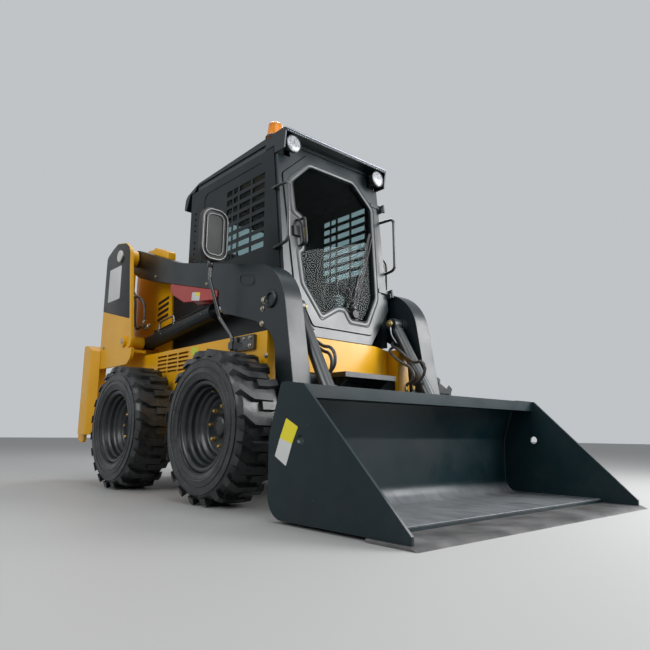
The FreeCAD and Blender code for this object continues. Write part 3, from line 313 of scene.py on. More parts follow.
def rubber(name, colour, dusty, cloud, rough, grain, depth):
    stuff, tree, shade = newMaterial(name)
    clouds = spread(tree, noise(tree, cloud, 7.0, 0.65), 0.36, 0.68)
    tree.links.new(blendColour(tree, clouds, colour, dusty), shade.inputs["Base Color"])
    smear = spread(tree, noise(tree, 12.0, 5.0), 0.3, 0.7, rough - 0.1, rough + 0.14)
    tree.links.new(smear, shade.inputs["Roughness"])
    relief(tree, shade, noise(tree, grain, 5.0), depth, 0.001)
    return stuff


rubbers = {  # colour, dusty colour, scale of its clouds, roughness, scale and depth of its grain
    "treadRubber": ((0.009, 0.011, 0.012), (0.038, 0.040, 0.041), 14.0, 0.31, 180.0, 0.35),
    "ringRubber": ((0.006, 0.0085, 0.0095), (0.010, 0.012, 0.013), 8.0, 0.24, 140.0, 0.1),
    "hoseRubber": ((0.006, 0.007, 0.008), (0.105, 0.107, 0.110), 105.0, 0.36, 110.0, 1.0),
    "sealRubber": ((0.030, 0.030, 0.032), (0.045, 0.045, 0.047), 30.0, 0.5, 300.0, 0.2),
    "seatVinyl": ((0.018, 0.018, 0.020), (0.030, 0.030, 0.032), 12.0, 0.5, 380.0, 0.5),
}
stuffs.update({name: rubber(name, *look) for name, look in rubbers.items()})


def clear(name, colour, rough, solid, sharp):
    stuff, tree, shade = newMaterial(name)
    shade.inputs["Base Color"].default_value = colour + (1,)
    shade.inputs["IOR"].default_value = sharp
    shade.inputs["Transmission Weight"].default_value = 1.0 - solid
    smear = spread(tree, noise(tree, 5.0, 6.0, 0.7), 0.35, 0.75, rough, rough + 0.05)
    tree.links.new(smear, shade.inputs["Roughness"])
    return stuff


glasses = {  # colour, roughness, share that is solid, index of refraction
    "paneGlass": ((0.52, 0.64, 0.65), 0.0, 0.0, 1.12),
    "beaconGlass": ((1.0, 0.36, 0.02), 0.08, 0.45, 1.45),
}
stuffs.update({name: clear(name, *look) for name, look in glasses.items()})
print("materials ready")

# Every CAD node's merged copy, with its edges broken so that they catch the light
dressLook = {"merge": 0.00004, "flatWithin": 0.6, "edgeAngle": 32}
dressed = {  # material: node and the width of its broken edges
    "amberPaint": {"side_case_right": 0.003, "side_case_left": 0.003, "tower_outer_right": 0.003,
                   "tower_outer_left": 0.003, "tower_inner_right": 0.002, "tower_inner_left": 0.002,
                   "front_cross": 0.003, "arm_stops": 0.006, "rear_guards": 0.005, "rear_frame": 0.004},
    "blackPaint": {"chassis_tub": 0.002, "quick_hitch": 0.003, "cab_side_right": 0.0015,
                   "cab_side_left": 0.0015, "cab_rear": 0.002, "cab_floor": 0.002, "engine_hood": 0.004,
                   "rear_door": 0.003, "lift_barrels": 0.002},
    "framePaint": {"entry_step": 0.003, "cab_frame": 0.006, "door_frame": 0.006},
    "armPaint": {"lift_arm_right": 0.006, "lift_arm_left": 0.006, "arm_cross": 0.0, "cab_roof": 0.006},
    "redPaint": {"arm_lock": 0.003},
    "bucketPaint": {"bucket_shell": 0.003},
    "wornSteel": {"bucket_edge": 0.002},
    "zincPlate": {"pivot_pins": 0.003},
    "castGrey": {"engine_block": 0.01, "cooler": 0.004},
    "cylinderPaint": {"tilt_barrels": 0.002},
    "rodChrome": {"lift_rods": 0.002, "tilt_rods": 0.002},
    "darkPlastic": {"levers": 0.0, "door_fittings": 0.002, "mirrors": 0.006, "work_lamps": 0.002},
    "glossPlastic": {"mirror_stalks": 0.0, "grab_handles": 0.0},
    "beaconGlass": {"beacon": 0.003},
    "paneGlass": {"cab_glass": 0.0, "door_glass": 0.0},
    "hoseRubber": {"arm_hoses": 0.0, "tower_hoses": 0.0},
    "treadRubber": {"tyre_front_right": 0.004, "tyre_front_left": 0.004, "tyre_rear_right": 0.004,
                    "tyre_rear_left": 0.004},
}


def editMode(on):
    bpy.ops.object.mode_set(mode="EDIT" if on else "OBJECT")


def breakEdges(piece, width, angle, segments=2):  # width in metres
    bevel = piece.modifiers.new("edge", "BEVEL")
    bevel.width = width
    bevel.segments = segments
    bevel.limit_method = "ANGLE"
    bevel.angle_limit = math.radians(angle)
    bpy.ops.object.modifier_apply(modifier="edge")


def dressNode(node, material, edge):
    angle = dressLook["edgeAngle"]
    piece = bpy.data.objects.new(node + "Dressed", nodes[node].data.copy())
    bpy.context.scene.collection.objects.link(piece)
    makeActive(piece)
    editMode(True)
    selectWhole()
    bpy.ops.mesh.remove_doubles(threshold=dressLook["merge"])
    bpy.ops.mesh.dissolve_limited(angle_limit=math.radians(dressLook["flatWithin"]))
    editMode(False)
    if edge:
        breakEdges(piece, edge, angle)
    bpy.ops.object.shade_smooth_by_angle(angle=math.radians(angle))
    if edge:  # flat faces stay flat beside their broken edges
        flat = piece.modifiers.new("flat", "WEIGHTED_NORMAL")
        flat.keep_sharp = True
        bpy.ops.object.modifier_apply(modifier="flat")
    piece.data.materials.clear()
    piece.data.materials.append(stuffs[material])
    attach(piece, bodyOf[node])
    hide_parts(node)


for material, nodeEdges in dressed.items():
    for node, edge in nodeEdges.items():
        dressNode(node, material, edge)
print("nodes dressed")

# Shaping helpers: places are in millimetres from the middle of the wheelbase, on the floor
rowShift = 187.0  # from the middle of the wheelbase to the middle of the whole machine


def at(x, y, z):
    return Vector(((x - rowShift) / 1000, y / 1000, z / 1000))


def facing(place, normal):
    out = Vector(normal).normalized()
    top = Vector((0, 0, 1))
    if abs(out.dot(top)) > 0.98:
        top = Vector((1, 0, 0))
    top = (top - out * top.dot(out)).normalized()
    return Matrix.Translation(place) @ Matrix((top.cross(out), top, out)).transposed().to_4x4()


def turned(name, profile, sides):  # profile: height and radius, from the foot up
    clearSelection()
    high, wide = profile[0]
    bpy.ops.mesh.primitive_circle_add(vertices=sides, radius=wide / 1000, location=(0, 0, 0), fill_type="NGON")
    piece = bpy.context.object
    piece.name = name
    editMode(True)
    selectWhole()
    bpy.ops.transform.translate(value=(0, 0, high / 1000))
    for nextHigh, nextWide in profile[1:]:
        bpy.ops.mesh.extrude_region_move(TRANSFORM_OT_translate={"value": (0, 0, (nextHigh - high) / 1000)})
        scale = nextWide / wide
        bpy.ops.transform.resize(value=(scale, scale, 1), center_override=(0, 0, nextHigh / 1000))
        high, wide = nextHigh, nextWide
    selectWhole()
    bpy.ops.mesh.normals_make_consistent(inside=False)
    editMode(False)
    return piece


def plateOf(name, outline, thick, rounding=0.0, band=0.0):  # with a band, only a rim of that width
    clearSelection()
    bpy.ops.mesh.primitive_circle_add(vertices=len(outline), radius=0.1, location=(0, 0, 0), fill_type="NGON")
    piece = bpy.context.object
    piece.name = name
    for vert, (a, b) in zip(piece.data.vertices, outline):
        vert.co = (a / 1000, b / 1000, 0)
    editMode(True)
    selectWhole()
    if rounding:
        bpy.ops.mesh.bevel(offset=rounding / 1000, segments=5, affect="VERTICES")
        selectWhole()
    if band:
        bpy.ops.mesh.inset(thickness=band / 1000)
        bpy.ops.mesh.delete(type="ONLY_FACE")
        selectWhole()
    bpy.ops.mesh.extrude_region_move(TRANSFORM_OT_translate={"value": (0, 0, thick / 1000)})
    selectWhole()
    bpy.ops.mesh.normals_make_consistent(inside=False)
    editMode(False)
    return piece


def barOf(name, low, high, edge):
    clearSelection()
    size = [(b - a) / 1000 for a, b in zip(low, high)]
    middle = at(*[(a + b) / 2 for a, b in zip(low, high)])
    bpy.ops.mesh.primitive_cube_add(size=1, location=(0, 0, 0))
    piece = bpy.context.object
    piece.name = name
    editMode(True)
    selectWhole()
    bpy.ops.transform.resize(value=size)
    bpy.ops.transform.translate(value=middle)
    bpy.ops.mesh.bevel(offset=edge / 1000, segments=2, affect="EDGES")
    editMode(False)
    return piece


def curvePiece(name, stops, order, resolution, closed, thick, rings):
    clearSelection()
    bpy.ops.curve.primitive_nurbs_path_add(location=(0, 0, 0))
    piece = bpy.context.object
    piece.name = name
    curve = piece.data
    curve.splines.clear()
    line = curve.splines.new("NURBS")
    line.points.add(len(stops) - 1)
    for knot, (x, y, z) in zip(line.points, stops):
        knot.co = (x, y, z, 1)
    line.order_u = order
    line.use_cyclic_u = closed
    line.use_endpoint_u = not closed
    line.resolution_u = resolution
    curve.bevel_depth = thick / 1000
    curve.bevel_resolution = rings
    curve.use_fill_caps = not closed
    makeActive(piece)
    bpy.ops.object.convert(target="MESH")
    return bpy.context.object


def tubeOf(name, points, radius, order=3):  # points in metres
    return curvePiece(name, points, order, 6, False, radius, 4)


def ribbonOf(name, outline, halfWide, halfThick, corner):  # a flattened tube round an outline
    stops = []
    for index, here in enumerate(outline):
        before, after = outline[index - 1], outline[(index + 1) % len(outline)]
        middle = Vector(here)
        inward, outward = Vector(before) - middle, Vector(after) - middle
        for stop in (middle + inward.normalized() * min(corner, inward.length * 0.42), middle,
                     middle + outward.normalized() * min(corner, outward.length * 0.42)):
            stops.append((stop.x / 1000, stop.y / 1000, 0))
    piece = curvePiece(name, stops, 3, 3, True, halfWide, 3)
    return move(piece, Matrix.Scale(halfThick / halfWide, 4, (0, 0, 1)))


def move(piece, matrix):
    piece.data.transform(matrix)
    if matrix.to_3x3().determinant() < 0:
        piece.data.flip_normals()
    return piece


def copyTo(piece, matrix, name):
    twin = bpy.data.objects.new(name, piece.data.copy())
    bpy.context.scene.collection.objects.link(twin)
    return move(twin, matrix)


def coat(piece, material):
    piece.data.materials.clear()
    piece.data.materials.append(stuffs[material])
    return piece


def joined(name, pieces):
    clearSelection()
    for piece in pieces:
        piece.select_set(True)
    bpy.context.view_layer.objects.active = pieces[0]
    bpy.ops.object.join()
    whole = bpy.context.object
    whole.name = name
    return whole


def settle(piece, body, edge=0.0, angle=35, segments=2):  # edge in millimetres
    makeActive(piece)
    if edge:
        breakEdges(piece, edge / 1000, angle, segments)
    bpy.ops.object.shade_smooth_by_angle(angle=math.radians(angle))
    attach(piece, body)
    return piece


# A thin plate on one flank of the machine, from the X and Z of its corners and its distance out
def sidePlate(name, corners, side, out, thick, rounding, material, band=0.0):
    flat = [((x - rowShift) * -side, z) for x, z in corners]
    plate = coat(plateOf(name, flat, thick, rounding, band), material)
    return move(plate, facing((0, side * out / 1000, 0), (0, side, 0)))


# Bolts: one head on its washer, copied to every place on a body
boltLook = {
    "washer": [(0, 15), (2.2, 15), (2.8, 14)], "hex": [(2.4, 10.5), (8.6, 10.5), (10, 9)], "turn": 0.4,
    "places": {  # body: X, Y, Z, scale
        "chassis": [(-344, -580, 646, 0.8), (711, -580, 755, 1.0), (704, -580, 686, 1.0),
                    (-861, -580, 915, 0.9), (420, -600, 858, 0.8), (420, -600, 822, 0.8),
                    (584, -600, 863, 0.8), (584, -600, 819, 0.8), (524, -600, 863, 0.6),
                    (711, 580, 755, 1.0), (420, 600, 858, 0.8), (420, 600, 822, 0.8), (584, 600, 863, 0.8),
                    (584, 600, 819, 0.8), (-344, 580, 646, 0.8), (-1240, -700, 980, 0.9),
                    (-1240, 700, 980, 0.9)],
        "arms": [(666, -581, 1012, 1.0), (664, -581, 931, 1.0), (-677, -581, 1456, 0.7),
                 (57, -581, 1263, 0.7), (666, 581, 1012, 1.0), (664, 581, 931, 1.0),
                 (-677, 581, 1456, 0.7), (57, 581, 1263, 0.7)],
    },
}


def placeBolts():
    washer, head = turned("boltWasher", boltLook["washer"], 20), turned("boltHex", boltLook["hex"], 6)
    source = joined("boltSource", [coat(washer, "zincPlate"), coat(head, "zincPlate")])
    for body, places in boltLook["places"].items():
        heads = []
        for number, (x, y, z, scale) in enumerate(places):
            turn = Matrix.Rotation(boltLook["turn"] * number, 4, "Z") @ Matrix.Scale(scale, 4)
            heads.append(copyTo(source, facing(at(x, y, z), (0, math.copysign(1, y), 0)) @ turn, "bolt"))
        settle(joined(body + "Bolts", heads), body, angle=30)
    bpy.data.objects.remove(source)


placeBolts()
print("bolts placed")


# Work lamps and beacon: bumpy pale lens in each bezel, black foot ring under the dome
lampLook = {"place": (622, 364, 2062), "lens": [(0, 52.4), (6, 52.4), (11, 44), (14, 24), (14.8, 2)],
            "bezel": [(0, 54.5), (8, 55.5), (9.5, 54.6), (9.5, 53.2), (5, 52.6)]}
beaconLook = {"place": (465, -385, 2143), "foot": [(0, 60), (12, 60), (16, 56), (16, 50), (14, 46)]}


def roofLamps():
    x, y, z = lampLook["place"]
    for side, name in bothSides:
        matrix = facing(at(x, side * y, z), (1, 0, 0))
        lens = coat(turned("lampLens" + name, lampLook["lens"], 36), "lampLens")
        bezel = coat(turned("lampBezel" + name, lampLook["bezel"], 36), "darkPlastic")
        settle(move(bezel, matrix), "chassis", angle=50)
        settle(move(lens, matrix), "chassis", angle=60)
    foot = coat(turned("beaconFoot", beaconLook["foot"], 36), "darkPlastic")
    settle(move(foot, facing(at(*beaconLook["place"]), (0, 0, 1))), "chassis", angle=50)


roofLamps()


# Door: band and seals round the pane, latch tag and pull; the door's front leans back
doorLook = {
    "foot": (687, 0, 900), "lean": -6.8, "bandProud": 8.0, "corner": 42.0,
    "window": [  # Y, Z on the upright door
        (-165, 1040), (-285, 1215), (-300, 1395), (-268, 1420), (-268, 1640), (-322, 1665), (-335, 1850),
        (-185, 2000), (185, 2000), (335, 1850), (300, 1215), (200, 1040), (70, 1040), (30, 1110),
        (-40, 1110)],
    "ribbons": [  # name, grown by, half width, half thickness, material, slot
        ("doorBand", 15, 12.5, 4.0, "bandPaint", "black_gloss"),
        ("doorSealOuter", 31, 3.0, 3.0, "sealRubber", "hose"),
        ("doorSealInner", 1, 3.5, 5.0, "sealRubber", "hose"),
    ],
    "tag": ((703, -276, 1490), (716, -256, 1560)),
    "pull": [(-302, 1440, 8), (-302, 1440, 34), (-304, 1470, 46), (-312, 1560, 46), (-318, 1596, 34),
             (-320, 1600, 8)],  # Y, Z, distance from the door's face
}
doorFoot = at(*doorLook["foot"])
lean = (Matrix.Translation(doorFoot) @ Matrix.Rotation(math.radians(doorLook["lean"]), 4, "Y")
        @ Matrix.Translation(-doorFoot))


def onDoor(y, z, proud):
    return lean @ at(doorLook["foot"][0] + proud, y, z)


def grownOutline(points, amount):
    grown = []
    for index, (bx, by) in enumerate(points):
        (ax, ay), (cx, cy) = points[index - 1], points[(index + 1) % len(points)]
        first, second = Vector((bx - ax, by - ay)).normalized(), Vector((cx - bx, cy - by)).normalized()
        one, two = Vector((-first.y, first.x)), Vector((-second.y, second.x))
        push = (one + two) * (amount / (1 + one.dot(two)))
        grown.append((bx + push.x, by + push.y))
    return grown


def doorTrim():
    face = lean @ facing(at(doorLook["foot"][0] + doorLook["bandProud"], 0, 0), (1, 0, 0))
    for name, grow, halfWide, halfThick, material, slot in doorLook["ribbons"]:
        outline = grownOutline(doorLook["window"], grow)
        ring = coat(ribbonOf(name, outline, halfWide, halfThick, doorLook["corner"]), material)
        settle(move(ring, face), "door", angle=50)
    tag = coat(barOf("latchTag", *doorLook["tag"], 3), "tagYellow")
    settle(move(tag, lean), "door")
    grip = tubeOf("doorPull", [onDoor(*point) for point in doorLook["pull"]], 6.5)
    settle(coat(grip, "blackPaint"), "door", angle=50)


doorTrim()


# Roof: bright lip over a row of dashes, along the front edge
roofLook = {"x": 640.6, "halfWide": 437, "lip": (2136, 2148), "dash": (2126, 2130), "dashes": 46,
            "firstDash": -425, "pitch": 19, "dashLong": 11}


def roofLip():
    x, (low, high), half = roofLook["x"], roofLook["lip"], roofLook["halfWide"]
    strip = coat(barOf("roofLip", (x, -half, low), (x + 4, half, high), 1.5), "brightEdge")
    settle(strip, "chassis")
    low, high = roofLook["dash"]
    dashes = []
    for number in range(roofLook["dashes"]):
        y = roofLook["firstDash"] + number * roofLook["pitch"]
        dash = barOf("dash", (x, y, low), (x + 2.5, y + roofLook["dashLong"], high), 0.6)
        dashes.append(coat(dash, "brightEdge"))
    settle(joined("roofLipDashes", dashes), "chassis")


roofLip()
print("cab front ready")


# Wiper: motor, pivot, two-rod arm and blade, on the door
wiperLook = {
    "pivot": (72, 1107), "tip": (285, 1656), "rodGap": 11, "rodProud": (30, 34, 28), "headX": 703,
    "motor": (670.5, 12, 1161),
    "blade": [(111, 1122, 20), (212, 1372, 16), (308, 1626, 20)],
    "head": [(0, 17), (12, 17), (24, 14), (32, 11), (35, 5)],
    "motorShape": [(0, 40), (10, 42), (34, 42), (40, 38), (44, 24), (56, 22), (60, 16), (60, 3)],
    "loop": [(-26, 1195), (-48, 1240), (-20, 1275), (20, 1262), (44, 1238), (67, 1225), (84, 1180),
             (76, 1130)],
}


def wiper():
    (py, pz), (ty, tz) = wiperLook["pivot"], wiperLook["tip"]
    first, second, third = wiperLook["rodProud"]
    parts = []
    for shift in (-wiperLook["rodGap"], wiperLook["rodGap"]):
        rod = [onDoor(py + shift, pz, first), onDoor((py + ty) / 2 + shift * 0.9, (pz + tz) / 2, second),
               onDoor(ty + shift * 0.4, tz, third)]
        parts.append(tubeOf("wiperRod", rod, 3.0))
    for y, z, size in ((py, pz, 1.0), (py - 4, pz + 34, 0.6)):
        head = turned("wiperHead", [(high, wide * size) for high, wide in wiperLook["head"]], 24)
        parts.append(move(head, lean @ facing(at(wiperLook["headX"], y, z), (1, 0, 0))))
    blade = tubeOf("wiperBlade", [onDoor(*point) for point in wiperLook["blade"]], 5.0)
    clip = tubeOf("wiperClip", [onDoor(ty, tz - 6, 30), onDoor(ty - 34, tz - 110, 20)], 6)
    arm = joined("wiperArm", [coat(part, "wiperSteel") for part in parts])
    settle(arm, "door", angle=40)
    blade = joined("wiperBladeRubber", [coat(blade, "sealRubber"), coat(clip, "darkPlastic")])
    settle(blade, "door", angle=40)
    motor = coat(turned("wiperMotor", wiperLook["motorShape"], 36), "darkPlastic")
    settle(move(motor, lean @ facing(at(*wiperLook["motor"]), (-1, 0, 0))), "door", angle=45)
    hose = [onDoor(y, z, 14 + 8 * (k % 2)) for k, (y, z) in enumerate(wiperLook["loop"])]
    settle(coat(tubeOf("washerHose", hose, 3.4), "hoseRubber"), "door", angle=50)


wiper()
print("door ready")


# Tower: black panel, blank white plate, dark cooling slots, white pivot cap
towerLook = {
    "panel": [(-1308, 1272), (-800, 1150), (-862, 1545), (-874, 1662), (-905, 1716), (-962, 1748),
              (-1110, 1776), (-1188, 1758), (-1290, 1712), (-1308, 1694)],
    "plate": [(-1228, 1330), (-1005, 1330), (-1008, 1588), (-1230, 1588)],
    "slot": [(-890, 1166), (-718, 1193), (-718, 1217), (-890, 1190)], "slots": 4, "slotPitch": 43,
    "cap": [(0, 44), (2.4, 44), (4, 42.5), (4.6, 36), (4.2, 34), (4.4, 3)], "capPlace": (-1030, 714.2, 1660),
}


def towerTrim():
    for side, name in bothSides:
        panel = sidePlate("towerPanel" + name, towerLook["panel"], side, 700.2, 1.6, 12, "panelBlack")
        settle(panel, "chassis", 0.5)
        plate = sidePlate("towerPlate" + name, towerLook["plate"], side, 701.8, 1.2, 14, "whitePlate")
        settle(plate, "chassis", 0.4)
        slots = []
        for number in range(towerLook["slots"]):
            ends = [(x, z + number * towerLook["slotPitch"]) for x, z in towerLook["slot"]]
            slots.append(sidePlate("towerVent", ends, side, 445.2, 0.8, 9, "grillePaint"))
        settle(joined("towerVents" + name, slots), "chassis")
        x, y, z = towerLook["capPlace"]
        cap = coat(turned("pivotCap" + name, towerLook["cap"], 40), "whitePlate")
        settle(move(cap, facing(at(x, side * y, z), (0, side, 0))), "chassis", angle=50)


towerTrim()
print("towers ready")


# Arms: pressed recess, pin retainer, blank label on the lock
armLook = {
    "recess": [(425, 1252), (577, 1222), (582, 1158), (430, 1187)], "recessRound": 30,
    "ring": [(0, 47), (9, 47), (13, 43), (13, 34), (9, 31), (3, 29), (3, 4)], "ringPlace": (743, 580.5, 1053),
    "nutPlace": (686, 581, 1057), "washer": [(0, 20), (4, 20), (5, 18)], "nut": [(4.5, 15), (16, 15), (18, 12)],
    "label": [(-128, 1243), (-24, 1226), (-30, 1172), (-134, 1190)],
    "labelCorner": [(-72, 1233.5), (-26, 1226), (-28, 1203), (-74, 1210)],
}


def armTrim():
    for side, name in bothSides:
        rim = sidePlate("armRecess" + name, armLook["recess"], side, 581, 3.2, armLook["recessRound"],
                        "armPaint", 9)
        settle(rim, "arms", 1.2)
        x, y, z = armLook["ringPlace"]
        ring = coat(turned("pinRing" + name, armLook["ring"], 40), "armPaint")
        settle(move(ring, facing(at(x, side * y, z), (0, side, 0))), "arms", angle=50)
        x, y, z = armLook["nutPlace"]
        nut = joined("pinNut" + name, [turned("nutWasher", armLook["washer"], 28),
                                       turned("nutHex", armLook["nut"], 6)])
        place = facing(at(x, side * y, z), (0, side, 0))
        settle(move(coat(nut, "zincPlate"), place), "arms", angle=30)
    label = sidePlate("lockLabel", armLook["label"], -1, 576.6, 1.0, 6, "whitePlate")
    settle(label, "arms", 0.3)
    label = sidePlate("lockLabelCorner", armLook["labelCorner"], -1, 577.7, 0.6, 3, "yellowPlate")
    settle(label, "arms")


armTrim()
print("arms ready")


# Wheels: a clean turned rim in place of the solid's facets, wheel nuts, valve and rings on the tyre's wall
wheelLook = {
    "rim": [(-238, 2), (-238, 29.7), (-130, 29.7), (-130, 92), (-114, 92), (-106, 72), (-44, 72), (-36, 92),
            (-24, 92.5), (-24, 142), (-14, 160), (-16, 184), (-30, 196), (-102, 198), (-108, 200),
            (-108, 228), (-100, 228), (-96, 212.2), (96, 212.2), (100, 227), (104, 228), (108, 226),
            (109.5, 219), (108, 212), (100, 205), (92, 202), (78, 199.5), (72, 197), (68, 190),
            (62, 187.5), (46, 186), (40, 183), (36, 177), (31, 174), (22, 171.5), (17, 168), (12, 158),
            (6, 153), (-3, 149), (-8, 146), (-11, 139), (-12, 130), (-12, 72), (-10.5, 64), (-7, 60),
            (6, 56), (12, 52), (16.5, 46), (17.5, 30), (14, 28), (13.5, 2)],
    "nutBase": [(0, 14), (5, 13)], "nutBody": [(4, 11), (17, 11), (20, 8), (23, 6)],
    "nutCircle": 103, "nuts": 8, "nutFace": -12, "nutTurn": 41,
    "valve": [(16, 4), (58, 4), (60, 3)], "valveCircle": 174.5,
    "rings": [(236, 120.5, 7), (262, 129.0, 5), (296, 129.5, 8), (334, 128.0, 6)],  # radius, out, height
    "halfBase": 551, "halfTread": 740, "axle": 389,
}


def wheelFittings(name):
    nut = joined("wheelNut", [turned("nutBase", wheelLook["nutBase"], 20),
                              turned("nutBody", wheelLook["nutBody"], 6)])
    coat(nut, "brassPlate")
    nuts = []
    for number in range(wheelLook["nuts"]):
        angle = 360.0 / wheelLook["nuts"] * number + wheelLook["nutTurn"]
        place = Matrix.Translation((wheelLook["nutCircle"] / 1000, 0, wheelLook["nutFace"] / 1000))
        nuts.append(copyTo(nut, Matrix.Rotation(math.radians(angle), 4, "Z") @ place, "nut"))
    bpy.data.objects.remove(nut)
    valve = coat(turned("valve", wheelLook["valve"], 10), "brassPlate")
    move(valve, Matrix.Translation((0, wheelLook["valveCircle"] / 1000, 0)))
    return joined(name, [joined("wheelNuts", nuts), valve])


def wallRings(name):
    rings = []
    for radius, out, high in wheelLook["rings"]:
        clearSelection()
        bpy.ops.mesh.primitive_torus_add(major_segments=72, minor_segments=8, major_radius=radius / 1000,
                                         minor_radius=high / 2000)
        ring = bpy.context.object
        editMode(True)
        selectWhole()
        bpy.ops.transform.resize(value=(1, 1, 0.9))
        bpy.ops.transform.translate(value=(0, 0, (out - high * 0.18) / 1000))
        editMode(False)
        rings.append(coat(ring, "ringRubber"))
    return joined(name, rings)


def wheel(side, sideName, end, x):
    body = "wheel_%s_%s" % (end, sideName.lower())
    name = end.title() + sideName
    matrix = facing(at(x, side * wheelLook["halfTread"], wheelLook["axle"]), (0, side, 0))
    rim = coat(turned("rim" + name, wheelLook["rim"], 72), "rimPaint")
    fittings = wheelFittings("wheelFittings" + name)
    settle(move(rim, matrix), body, angle=40)
    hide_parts("rim_%s_%s" % (end, sideName.lower()))
    settle(move(fittings, matrix), body, angle=30)
    settle(move(wallRings("wallRings" + name), matrix), body, angle=60)


for side, sideName in bothSides:
    wheel(side, sideName, "front", wheelLook["halfBase"])
    wheel(side, sideName, "rear", -wheelLook["halfBase"])
print("wheels ready")


# Bucket: weld beads, and blank labels on the right side plate
bucketLook = {
    "labels": [("bucketLabelYellow", [(1293, 417), (1369, 381), (1333, 314), (1253, 337)], "yellowPlate"),
               ("bucketLabelWhite", [(1253, 337), (1333, 314), (1297, 227), (1222, 264)], "whitePlate")],
    "labelOut": 888.3, "beadY": 875,
    "edgeBead": [(1752, -872, 27), (1752, 0, 28), (1752, 872, 27)],
    "sideBead": [(1748, 27), (1290, 27), (1225, 32), (1193, 70), (1189, 120), (1189, 300), (1196, 350),
                 (1268, 545)],
    "hookBead": [(1384, 498), (1386, 530), (1385, 552)],
}


def bucketTrim():
    for name, corners, material in bucketLook["labels"]:
        label = sidePlate(name, corners, -1, bucketLook["labelOut"], 0.8, 4, material)
        settle(label, "bucket")
    beads = [tubeOf("bead", [at(*point) for point in bucketLook["edgeBead"]], 4.5, 2)]
    for side in (-1, 1):
        for route, radius in (("sideBead", 4.0), ("hookBead", 3.0)):
            points = [at(x, side * bucketLook["beadY"], z) for x, z in bucketLook[route]]
            beads.append(tubeOf("bead", points, radius))
    settle(coat(joined("bucketWelds", beads), "bucketPaint"), "bucket", angle=60)


bucketTrim()


# Side cases: sloping louvres over a dark back, and a blank label
caseLook = {
    "rows": 5, "columns": 3, "x": (-560, -130), "z": (742, 862), "bar": 12, "slope": -38, "out": 566,
    "slatThick": 2, "slatShare": 0.9,
    "back": [(-575, 735), (-115, 735), (-115, 868), (-575, 868)], "backOut": 492,
    "label": [(-96, 882), (-6, 874), (-8, 836), (-92, 826)], "labelOut": 580.3,
}


def caseTrim():
    (x0, x1), (z0, z1), bar = caseLook["x"], caseLook["z"], caseLook["bar"]
    wide = (x1 - x0 + bar) / caseLook["columns"] - bar
    high = (z1 - z0 + bar) / caseLook["rows"] - bar
    deep = high * caseLook["slatShare"]
    tilt = Matrix.Rotation(math.radians(caseLook["slope"]), 4, "X")
    for side, name in bothSides:
        slats = []
        for row in range(caseLook["rows"]):
            for column in range(caseLook["columns"]):
                slat = plateOf("slat", [(0, 0), (wide, 0), (wide, deep), (0, deep)], caseLook["slatThick"])
                x, z = x0 + column * (wide + bar), z0 + row * (high + bar)
                place = at(x if side < 0 else x + wide, side * caseLook["out"], z + 1)
                slats.append(move(coat(slat, "amberPaint"), facing(place, (0, side, 0)) @ tilt))
        settle(joined("sideLouvres" + name, slats), "chassis", 0.4)
        back = sidePlate("grilleBack" + name, caseLook["back"], side, caseLook["backOut"], 2, 0, "grillePaint")
        settle(back, "chassis")
    label = sidePlate("caseLabel", caseLook["label"], -1, caseLook["labelOut"], 0.8, 5, "limePlate")
    settle(label, "chassis")


caseTrim()
print("bucket and cases ready")


# Hose ends, clamps, ports and steel pipes
hoseLook = {
    "collar": [(0, 12), (30, 13), (33, 11)], "nut": [(31, 15), (46, 15), (48, 13)],
    "tail": [(46, 8), (64, 8), (66, 6)], "chamfer": 3,
    "ends": {  # body: way, size, material, places
        "arms": [((0, 1, 0), 0.8, "zincPlate", ((725, -462, 935), (725, -462, 903))),
                 ((0, -1, 0), 0.8, "brassPlate", ((725, 462, 935), (725, 462, 903))),
                 ((0, 0, -1), 0.75, "brassPlate", ((935, -335, 652), (900, -312, 652), (935, 336, 652),
                                                   (900, 312, 650)))],
        "chassis": [((0, 1, 0), 0.8, "zincPlate", ((-1000, -677, 1420), (-850, -677, 1330))),
                    ((0, -1, 0), 0.8, "zincPlate", ((-1000, 677, 1420), (-850, 677, 1330))),
                    ((0.86, 0, 0.5), 0.95, "zincPlate", ((-766, -620, 1104), (-766, 620, 1104))),
                    ((0.94, 0, 0.3), 0.95, "zincPlate", ((-742, -596, 1084), (-742, 596, 1084)))],
    },
    "clamps": ((-560, 1024), (-20, 1082)), "barrelY": 521.5, "clampHalf": 52, "clampHigh": 66,
    "ports": ((-690, 1060), (-470, 1084)), "portY": 520,
    "portPipe": [(-690, 520, 1098), (-690, 520, 1128), (-650, 522, 1130), (-510, 522, 1148),
                 (-470, 520, 1150), (-470, 520, 1118)],
    "pinCap": [(0, 23), (5, 23), (7, 20), (7, 11), (12, 9), (13, 2)], "pinCapPlace": (735, 352, 1045),
    "tiltPipe": [(742, 352, 1020), (752, 344, 985), (768, 340, 955), (790, 336, 930), (806, 336, 912)],
}


def fitting(place, way, size, material):
    parts = []
    for name, sides in (("collar", 20), ("nut", 6), ("tail", 16)):
        profile = [(high * size, wide * size) for high, wide in hoseLook[name]]
        if name == "collar":  # the same chamfer at every size
            profile.insert(1, (hoseLook["chamfer"], profile[1][1]))
        parts.append(coat(turned(name, profile, sides), material))
    return move(joined("fitting", parts), facing(place, way))


